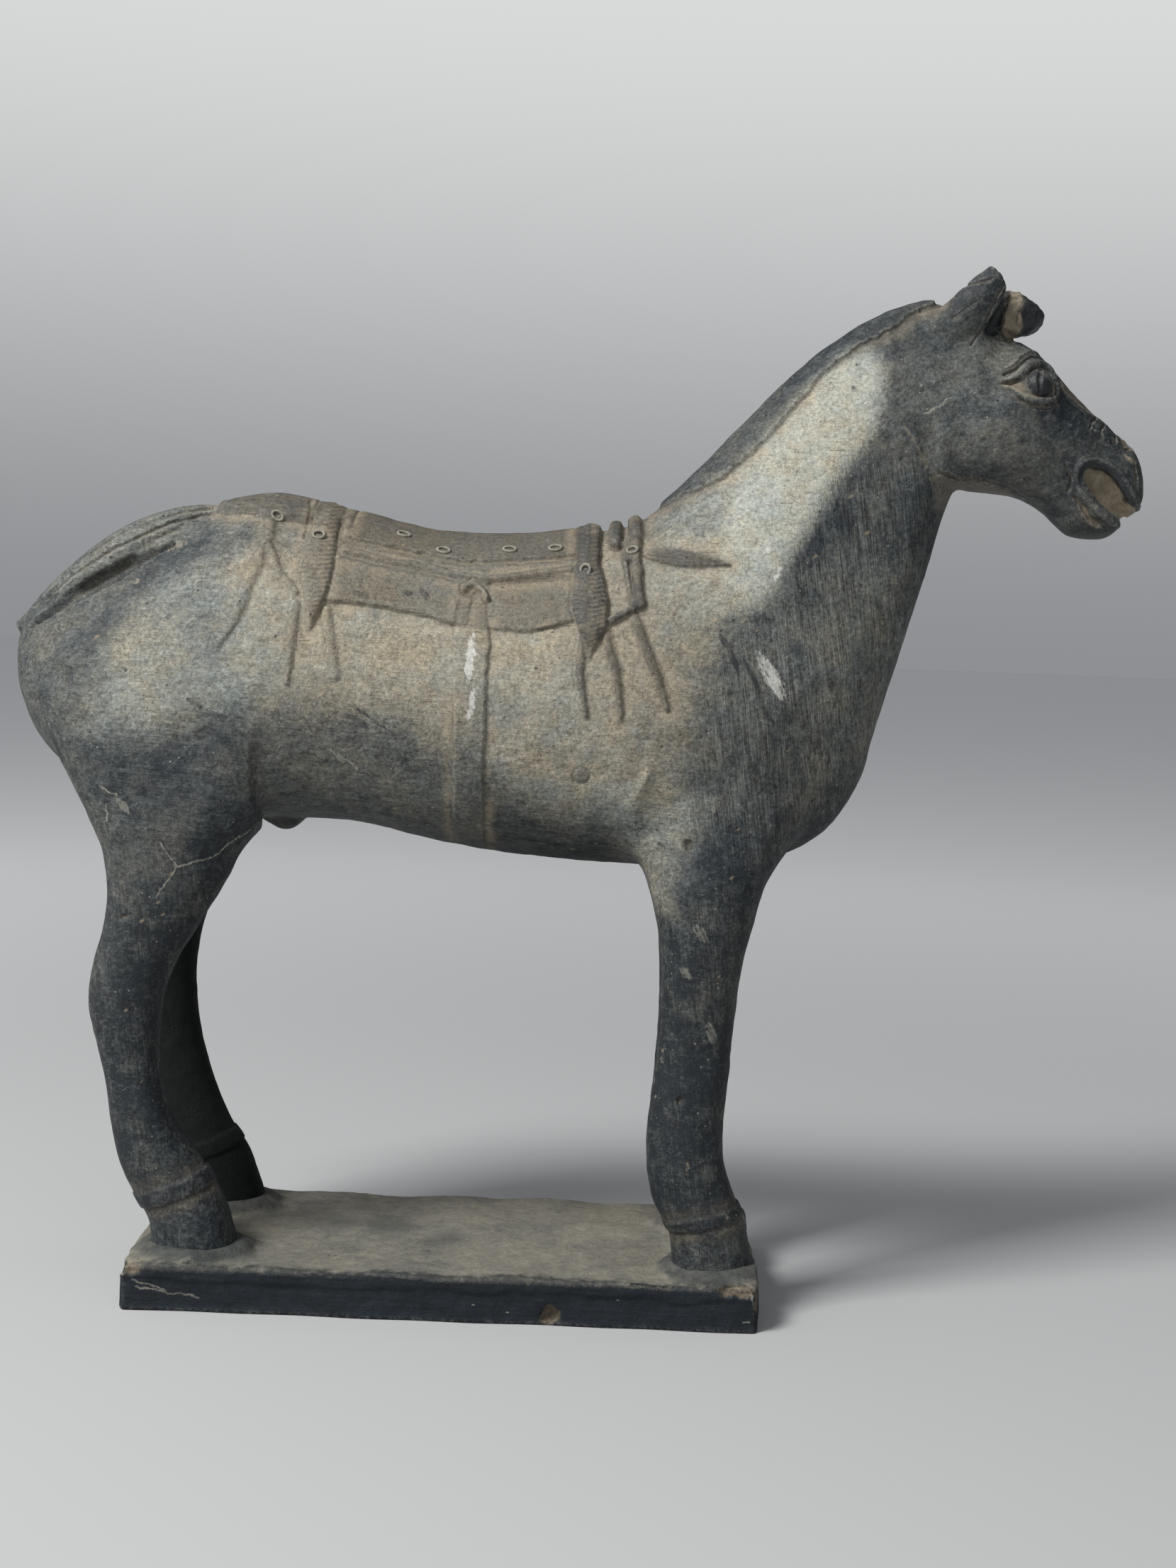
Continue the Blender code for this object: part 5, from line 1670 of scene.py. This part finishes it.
@dataclass(frozen=True)
class SmokedClay:
    """Clay fired grey-black, breathed over with pale slip, with tan dirt left in its hollows; shade and a few
    highlights are painted into its colour.
    """

    soot: Colour = (0.014, 0.018, 0.021)
    smoke: Colour = (0.090, 0.096, 0.092)
    slip: Colour = (0.385, 0.345, 0.265)
    slip_grey: Colour = (0.400, 0.395, 0.335)
    leather: Colour = (0.108, 0.094, 0.073)
    strap: Colour = (0.047, 0.047, 0.044)
    tan: Colour = (0.40, 0.325, 0.22)
    dust: Colour = (0.46, 0.44, 0.37)
    black: Colour = (0.010, 0.012, 0.015)
    # near black, for the painted shade on the inner faces of the legs
    shade: Colour = (0.003, 0.004, 0.004)
    throat: Colour = (0.13, 0.10, 0.065)
    tan_clay: Colour = (0.27, 0.225, 0.16)
    palate: Colour = (0.42, 0.36, 0.26)
    browned: Colour = (1.05, 1.0, 0.92)
    leaden: Colour = (0.93, 1.0, 1.06)
    chalk_and_glint: Colour = (0.66, 0.65, 0.60)
    # x, z, half length, half width and tilt of patches on the near side
    smears: Rows = ((98, 220, 9.5, 1.7, -64), (104, 208, 5, 1.3, -58), (-33, 204.5, 6.5, 0.9, -28),
                    (91.5, 226, 6, 1.3, -70), (88, 232, 5, 1.2, -60), (-26, 199.8, 3, 0.6, -30),
                    (30.5, 235, 8, 1.2, 8))
    # The two patches on the girth, at x 3 and 3.9, are painted highlights: glints on a glossy polish.
    scrapes_and_glints: Rows = ((104.2, 221, 10.4, 2.9, -57), (3, 224, 9.5, 1.7, 88), (3.9, 208, 6.5, 1.4, 80),
                     (102, 263.5, 2.6, 1.2, 40), (105.5, 256, 3, 0.9, 70))
    earth: Rows = ((104.6, 261, 5, 1.6, -70), (-62, 246, 7, 4, -50), (30, 236, 7, 2.4, 0),
                   (63, 219, 7, 3, -60), (82.7, 54, 4, 0.8, 88), (-100, 258, 6, 1.8, 20),
                   (154.5, 297, 7, 1, -62), (149.5, 305, 5, 0.9, -50), (158, 290, 3.5, 1.4, 0))
    # x, z, half length, half width and tilt of places rubbed grey on the near fore leg
    rubs: Rows = ((83.6, 134, 4.6, 2.2, -50), (79.4, 120, 3.8, 1.8, -58), (88.6, 100, 5.4, 1.8, -68),
                  (72.3, 88.6, 1.6, 0.6, 80), (86.5, 177, 5, 0.7, 88), (-112, 170, 5.5, 2, -40))
    # x and z of the start, and x and z of the end, of lines on the near side
    scratches: Rows = ((-98.8, 157.6, -93.6, 149.6), (-93.6, 149.6, -82.2, 153.4),
                       (-82.2, 153.4, -70.3, 162.6), (-93.6, 149.6, -100.4, 139.3),
                       (153.8, 312.1, 163.5, 318.2), (-40.3, 189.4, -34, 185), (-43, 191.1, -39, 187),
                       (-120.7, 175.7, -113.9, 173.2), (-118.2, 169.7, -118, 164.4), (-27, 216, -24, 209))
    scuffs: Rows = ((-20, 245, -18.3, 244.4), (-14.6, 245.6, -12.5, 243.4), (-36.9, 244.3, -33, 243.2),
                    (108.8, 174.7, 108.4, 170), (76.1, 77.8, 76.2, 77), (-139.4, 192.2, -135.6, 185),
                    (129.9, 320.6, 130.1, 320.4), (-104.2, 137.9, -104, 137.8), (-90.8, 206.6, -86, 204),
                    (-85.1, 201.8, -78.7, 201.1), (-37, 202.5, -31, 199.5))

    def material(self) -> bpy.types.Material:
        """Put the finish together."""
        b = Finish("smoked_clay")
        broad, medium = b.noise(34, 3), b.noise(13, 5, 3.1, rough=0.68, warp=0.3)
        mottle, fine = b.noise(4.6, 5, 11, rough=0.75, warp=0.5), b.noise(1.3, 3, 7.7, rough=0.75)
        grain = b.noise(0.5, 2, 1.3, rough=0.75)
        comb = (b.attribute("comb") * (medium * 1.2 + 0.8)).held()
        level = (0.42 - comb * 0.42 + medium * 0.5).held() * b.x.step(148, 112)
        stroke = (b.noise(1, 3, 5.5, (0.5, 1.5, 17), 0.72, 8, 0.1) * comb
                  + b.noise(1, 3, 8.5, (13, 1.5, 0.5), 0.72, -4, 0.1) * level)
        sweep = (b.noise(1, 3, 2.5, (2.2, 4, 24), 0.65, 13, 0.5) * comb
                 + b.noise(1, 4, 4.5, (13, 4, 4), 0.7, 24, 1.2) * (1 - comb) * 0.7)
        pale, warm, harness, crease_shade_and_dirt, soil = map(b.attribute, ("pale", "warm", "harness", "crease_shade_and_dirt", "soil"))
        # Painted shade: the lower legs, from just above the hooves up to the belly, are darker.
        shank_shade = b.z.step(165, 120) * b.z.step(26, 44)
        uneven = broad * 0.6 + medium * 0.7 + mottle * 0.5 + fine * 0.4
        # Darker towards the nose, at the top of the head and on the fore hooves.
        darker = b.x.step(194, 212) + b.z.step(334, 350) + b.x.step(66, 76) * b.z.step(40, 28)
        streaks = uneven * 1.5 + sweep * 0.8 + stroke * 1.4
        dark = b.mix((streaks + 0.38 - shank_shade * 0.27 - darker * 0.16).held(), self.soot, self.smoke)
        light = b.mix((warm + medium + broad * 0.8).held(), self.slip_grey, self.slip)
        broken = mottle * 0.19 + medium * 0.34 + sweep * 0.4 + stroke * 0.48 + fine * 0.4
        veil = (pale + broken * (0.16 + pale.step(0, 0.35) * 0.6)).held()
        b.colour = b.mix(veil, dark, light)
        b.coat(harness.step(0, 0.7) * (0.84 + mottle * 0.6 + sweep * 0.6), 1, self.leather)
        b.coat(harness.step(0.6, 1) * (0.9 + mottle * 0.6), 1, self.strap)
        cold = (0.5 + sweep * 0.8 - medium * 1.8 - broad).held()
        b.colour = b.tinted(b.colour, b.mix(cold, self.browned, self.leaden))
        shading = 1 + grain * 0.7 + fine * 0.95 + mottle * 0.48 + stroke * 0.85 + sweep * 0.28
        b.colour = b.shaded(b.colour, shading)
        combed = stroke.step(0.15, 0.38) * (medium * 2 + 0.15 + comb * 0.5).held()
        b.coat(combed * (0.8 + fine), 0.28, self.dust)
        hollow, ridge = b.attribute("hollow"), b.attribute("ridge")
        b.coat(soil * (0.42 + medium * 1.4 + fine * 0.5) + hollow * (0.4 + mottle * 0.9), 0.6, self.tan)
        dark_lines = (b.hatch(4, 2, 9, 0.35) + b.hatch(78, 3, 8, 0.35)
                      + b.hatch(-32, 4, 6, 0.3)) * (medium * 2.4 + 0.3).held()
        pale_lines = (b.hatch(38, 5, 5, 0.3) + b.hatch(-12, 7, 6, 0.3)) * (0.35 - medium * 2).held()
        b.coat(dark_lines * 0.55, 1, self.soot)
        b.coat(pale_lines * 0.3, 1, self.dust)
        b.coat(ridge * (0.25 + fine * 1.1), 0.6, self.dust)
        # Painted shade, with dark dirt, darkens the creases towards black.
        b.coat(crease_shade_and_dirt * (0.5 + mottle * 1.1 + medium * 1.2), 0.66, self.black)
        b.coat(b.specks(3.4, 0.15, 0.25, 2, (1.8, 1, 0.7), 20), 0.75, self.black)
        b.coat(b.specks(2.3, 0.18, 0.3, 9), 0.5, self.dust)
        b.coat(b.specks(1.5, 0.17, 0.3, 6, (1.4, 1, 0.8), -30), 0.55, self.soot)
        b.coat(b.specks(6.5, 0.16, 0.4, 12, (1.6, 1, 0.8), 35) * (0.8 + fine), 0.5, self.tan)
        self.mark(b, mottle, fine)
        bare, black_and_gap_shade = b.attribute("bare"), b.attribute("black_and_gap_shade")
        # Bare clay, and the painted highlight on the lower lid.
        b.coat(bare * (0.85 + mottle * 0.7 + fine * 0.5), 0.85, self.tan_clay)
        # Black clay, and painted shade in the gap between the ear and the forelock's stump.
        b.coat(black_and_gap_shade * (0.95 + mottle * 0.6 + fine * 0.3), 0.9, self.black)
        inner = b.mix((0.62 + mottle + fine * 0.7).held(), self.throat, self.palate)
        b.coat(b.attribute("mouth"), 0.95, inner)
        pits = b.specks(5.5, 0.13, 0.45, 4)
        b.coat(pits, 0.6, self.soot)
        # Painted shade: the inner faces of the legs, most on the far side, are darkened towards near black
        # below the belly.
        inward = (b.y * b.y).step(1050, 520).most(b.y.step(44, 31) * b.y.step(0, 8))
        between = inward * b.z.step(172, 138) * (1.05 + mottle * 0.4)
        b.coat(between, 1, self.shade)
        roughness = 0.62 + fine * 0.16 + veil * 0.12 + mottle * 0.1 - black_and_gap_shade * 0.3 + between * 0.25
        relief = stroke * 0.3 + sweep * 0.16 - pits * 0.4 - dark_lines * 0.16
        return b.finish(roughness.held(), grain * 0.07 + fine * 0.15 + mottle * 0.24 + relief)

    def mark(self, b: Finish, mottle: Num, fine: Num) -> None:
        """Add the cracks, the scraped patches, the painted glints and the rubbed places of the near side.

        Args:
            b: Where the finish is put together.
            mottle: Coarse unevenness.
            fine: Fine unevenness.
        """
        near = b.y.step(-4, -9)
        streak = b.noise(1, 3, 6.1, (9, 2, 0.6), 0.7, -62)
        torn = streak * 1.5 + mottle * 1.3 + fine * 0.5
        ovals = ((self.smears, 0.5, 0.85, self.soot), (self.scrapes_and_glints, 0.34, 0.74, self.chalk_and_glint),
                 (self.earth, 0.6, 0.3, self.tan), (self.rubs, 0.5, 0.28, self.dust))
        lines = ((self.scratches, 0.26, 0.75 + fine * 1.6, 0.55, self.dust),
                 (self.scuffs, 0.9, 0.6 + mottle * 2.4 + fine * 1.8, 0.85, self.black))
        for places, bar, strength, tint in ovals:
            cover = Num.most_of([b.oval(*place) for place in places]) * (1 + torn)
            torn_off = (cover.step(bar, bar + 0.45) * (0.86 + streak * 0.9 + fine * 1.3)).held()
            b.coat(torn_off * near, strength, tint)
        for runs, width, share, strength, tint in lines:
            cover = Num.most_of([b.line(run, width) for run in runs])
            b.coat(cover * near * share, strength, tint)


@dataclass(frozen=True)
class RubbedRing:
    """Raised rings that handling has rubbed pale."""

    rubbed: Colour = (0.33, 0.31, 0.25)
    dull: Colour = (0.10, 0.093, 0.075)

    def material(self) -> bpy.types.Material:
        """Put the finish together."""
        b = Finish("rubbed_ring")
        fine, grain = b.noise(1.3, 3, 7.7, rough=0.7), b.noise(0.4, 2, 1.3)
        b.colour = b.mix((0.62 + fine * 1.2 + grain * 0.5).held(), self.dull, self.rubbed)
        return b.finish((0.7 + fine * 0.1).held(), grain * 0.06)


@dataclass(frozen=True)
class SlabClay:
    """The same clay on the slab: dusty on top, sooty and scraped on its sides."""

    soot: Colour = (0.006, 0.009, 0.013)
    smoke: Colour = (0.014, 0.022, 0.028)
    top: Colour = (0.262, 0.244, 0.192)
    worn: Colour = (0.11, 0.11, 0.097)
    tan: Colour = (0.36, 0.28, 0.18)
    dust: Colour = (0.42, 0.40, 0.33)
    # x, y, half length, half width and tilt of darker places on the top, under the belly
    dark_top_patches: Rows = ((-43, 8.9, 10.5, 11, 0), (-22.7, 8, 9.5, 13, 10), (-1, -4.7, 10, 10, 0))
    dusty: Sequence[float] = (64, 33, 26, 16, 0)
    # x and z of both ends of lines on the front
    scratches: Rows = ((-102.4, 7.8, -80.8, 5), (-104, 10.4, -92, 7), (103.3, 3.6, 105, 3.9),
                       (97.7, 17.7, 104, 14.6), (104.8, 14.1, 107.6, 6.2))
    cracks: Rows = ((20.2, 11.4, 18.6, 1.6), (64.6, 15.2, 90.8, 15.6), (-46, 14.6, -6, 14.2),
                    (48, 12.6, 49.2, 12.2), (33.2, 7.1, 38.9, 1.5))

    def material(self) -> bpy.types.Material:
        """Put the finish together."""
        b = Finish("slab_clay")
        broad, medium = b.noise(26, 3), b.noise(7, 4, 3.1, rough=0.65)
        mottle, fine = b.noise(3, 4, 11, rough=0.7), b.noise(1.2, 3, 7.7, rough=0.7)
        grain = b.noise(0.42, 2, 1.3, rough=0.7)
        layers = b.noise(1.4, 4, 4.4, (11, 11, 1), 0.65)
        dark = b.mix((mottle * 0.7 + layers * 0.6 + fine * 0.4 + 0.36).held(), self.soot, self.smoke)
        lip = (b.y + medium * 9 + mottle * 3).step(-52.5, -47)
        on_top = (b.z + fine * 1.2).step(13.4, 15)
        b.colour = b.mix((0.5 + broad * 0.9 + medium * 0.7 + mottle * 0.5).held(), self.worn, self.top)
        dark_top_patches = Num.most_of([b.oval(*place, View.PLAN) for place in self.dark_top_patches])
        b.coat(dark_top_patches * (0.6 + mottle), 0.55, self.smoke)
        b.coat(b.attribute("smear") * (0.8 + medium + mottle), 0.8, self.smoke)
        b.coat(b.oval(*self.dusty, View.PLAN) * (0.5 + mottle), 0.25, self.tan)
        b.colour = b.mix(on_top * (0.25 + lip * 0.75), dark, b.colour)
        shading = 1 + grain * 0.4 + fine * 0.4 + mottle * 0.25 + layers * (1 - on_top) * 0.2
        b.colour = b.shaded(b.colour, shading)
        b.coat(b.attribute("hollow") * (0.3 + mottle), 0.4, self.tan)
        b.coat(b.attribute("ridge") * (0.1 + fine * 1.2 + mottle * 0.8), 0.4, self.dust)
        b.coat(b.attribute("chip") * (0.5 + fine), 0.6, self.tan)
        b.coat(b.specks(3, 0.15, 0.2, 9, (1.8, 1.8, 0.7)), 0.5, self.dust)
        b.coat(b.specks(4, 0.14, 0.3, 2), 0.6, self.soot)
        front = b.y.step(-51, -52)
        pale = Num.most_of([b.line(run, 0.3) for run in self.scratches])
        b.coat(pale * front * (0.6 + fine), 0.6, self.dust)
        split = Num.most_of([b.line(run, 0.35) for run in self.cracks])
        b.coat(split * front, 0.8, self.soot)
        height = grain * 0.08 + fine * 0.16 + mottle * 0.24 + layers * 0.2 * (1 - on_top)
        return b.finish((0.76 + fine * 0.1).held(), height)


@dataclass(frozen=True)
class Studio:
    """Pale floor, soft light from the upper left, and the camera."""

    floor_size: float = 30.0
    floor_cells: int = 8
    # Painted light: the floor turns paler far off, where the lamp's light no longer reaches, and stays darker
    # near the horse.
    floor_near: Colour = (0.50, 0.50, 0.495)
    floor_far: Colour = (0.80, 0.80, 0.795)
    floor_fades: tuple[float, float] = (350.0, 1400.0)
    wall: Colour = (0.70, 0.71, 0.71)
    horizon: Colour = (0.270, 0.279, 0.293)
    bright_sky: Colour = (0.46, 0.475, 0.50)
    dim_sky: Colour = (0.055, 0.058, 0.062)
    bright_way: Colour = (-0.52, -0.55, 0.65)
    key_place: tuple[float, float, float] = (-1.00, -0.86, 1.52)
    key_aim: tuple[float, float, float] = (0.03, 0.0, 0.18)
    key_size: float = 0.6
    key_power: float = 40.0
    eye: tuple[float, float, float] = (0.049, -0.77, 0.2364)
    lens: float = 49.91
    pitch: float = 4.2
    yaw: float = 0.4
    roll: float = 2.12

    def floor(self) -> None:
        """Lay the floor, a square grid whose height is nothing everywhere."""
        cells = self.floor_cells
        side = np.linspace(-0.5, 0.5, cells + 1) * self.floor_size / MM
        x, y = np.meshgrid(side, side, indexing="ij")
        points = np.stack([x, y, np.full_like(x, -0.02)], axis=-1).reshape(-1, 3)
        low = (np.arange(cells)[:, None] * (cells + 1) + np.arange(cells)).ravel()
        quads = np.stack([low, low + cells + 1, low + cells + 2, low + 1], axis=1)
        made = Shell(points, quads).made("floor")
        b = Finish("pale_floor")
        away = Num(b, b.vector("LENGTH", {0: b.place}).outputs["Value"])
        # Painted light: paler with distance from the horse.
        colour = b.mix(away.step(*self.floor_fades), self.floor_near, self.floor_far)
        b.tree.links.new(colour, b.shader.inputs["Base Color"])
        b.shader.inputs["Roughness"].default_value = 0.9
        made.data.materials.append(b.material)

    def light(self) -> None:
        """Hang the lamp and set the room's light."""
        lamp = bpy.data.lights.new("window", "AREA")
        lamp.shape = "SQUARE"
        lamp.size = self.key_size
        lamp.energy = self.key_power
        hung = placed("window", lamp)
        hung.location = self.key_place
        aim = Vector(self.key_aim) - Vector(self.key_place)
        hung.rotation_euler = aim.to_track_quat("-Z", "Y").to_euler()
        world = bpy.data.worlds.new("room")
        world.use_nodes = True
        b = Bench(world.node_tree)
        way = b.node("ShaderNodeTexCoord").outputs["Generated"]
        sky = b.mix(b.dot(way, self.bright_way).step(-0.6, 1.0), self.dim_sky, self.bright_sky)
        seen = b.node("ShaderNodeLightPath").outputs["Is Camera Ray"]
        backdrop = b.mix(b.dot(way, (0.0, 0.0, 1.0)).step(-0.02, 0.30), self.horizon, self.wall)
        colour = b.mix(seen, sky, backdrop)
        back = b.node("ShaderNodeBackground", None, {"Color": colour})
        b.node("ShaderNodeOutputWorld", None, {"Surface": back.outputs[0]})
        bpy.context.scene.world = world
        bpy.context.scene.view_settings.view_transform = "Standard"

    def camera(self) -> None:
        """Set the camera up, from its place and its pitch, yaw and roll."""
        camera = bpy.data.cameras.new("camera")
        camera.lens = self.lens
        camera.sensor_width = camera.sensor_height = 36.0
        camera.clip_start = 0.01
        held = placed("camera", camera)
        turn = (Matrix.Rotation(math.radians(self.yaw), 4, "Z")
                @ Matrix.Rotation(math.radians(90 - self.pitch), 4, "X")
                @ Matrix.Rotation(math.radians(self.roll), 4, "Z"))
        held.matrix_world = Matrix.Translation(self.eye) @ turn
        bpy.context.scene.camera = held


def adopt(piece: Piece, finish: bpy.types.Material) -> None:
    """Dress a finished piece, and let it stand for the CAD node on its body."""
    piece.data.materials.clear()
    piece.data.materials.append(finish)
    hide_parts(NODE)
    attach(piece, BODY)
    piece.data.calc_loop_triangles()
    log.info("%s: %d triangles", piece.name, len(piece.data.loop_triangles))


def main() -> None:
    """Build every piece in order."""
    logging.basicConfig(level=logging.INFO, format="%(name)s %(message)s")
    studio = Studio()
    studio.camera()
    horse = Horse()
    clay = SmokedClay().material()
    patina = Patina()
    stretches = horse.build()
    for stretch in stretches:
        patina.paint(stretch, horse)
        adopt(stretch, clay)
    adopt(Rosettes().build(stretches), RubbedRing().material())
    adopt(Slab().build(), SlabClay().material())
    studio.floor()
    studio.light()


if __name__ == "__main__":
    main()
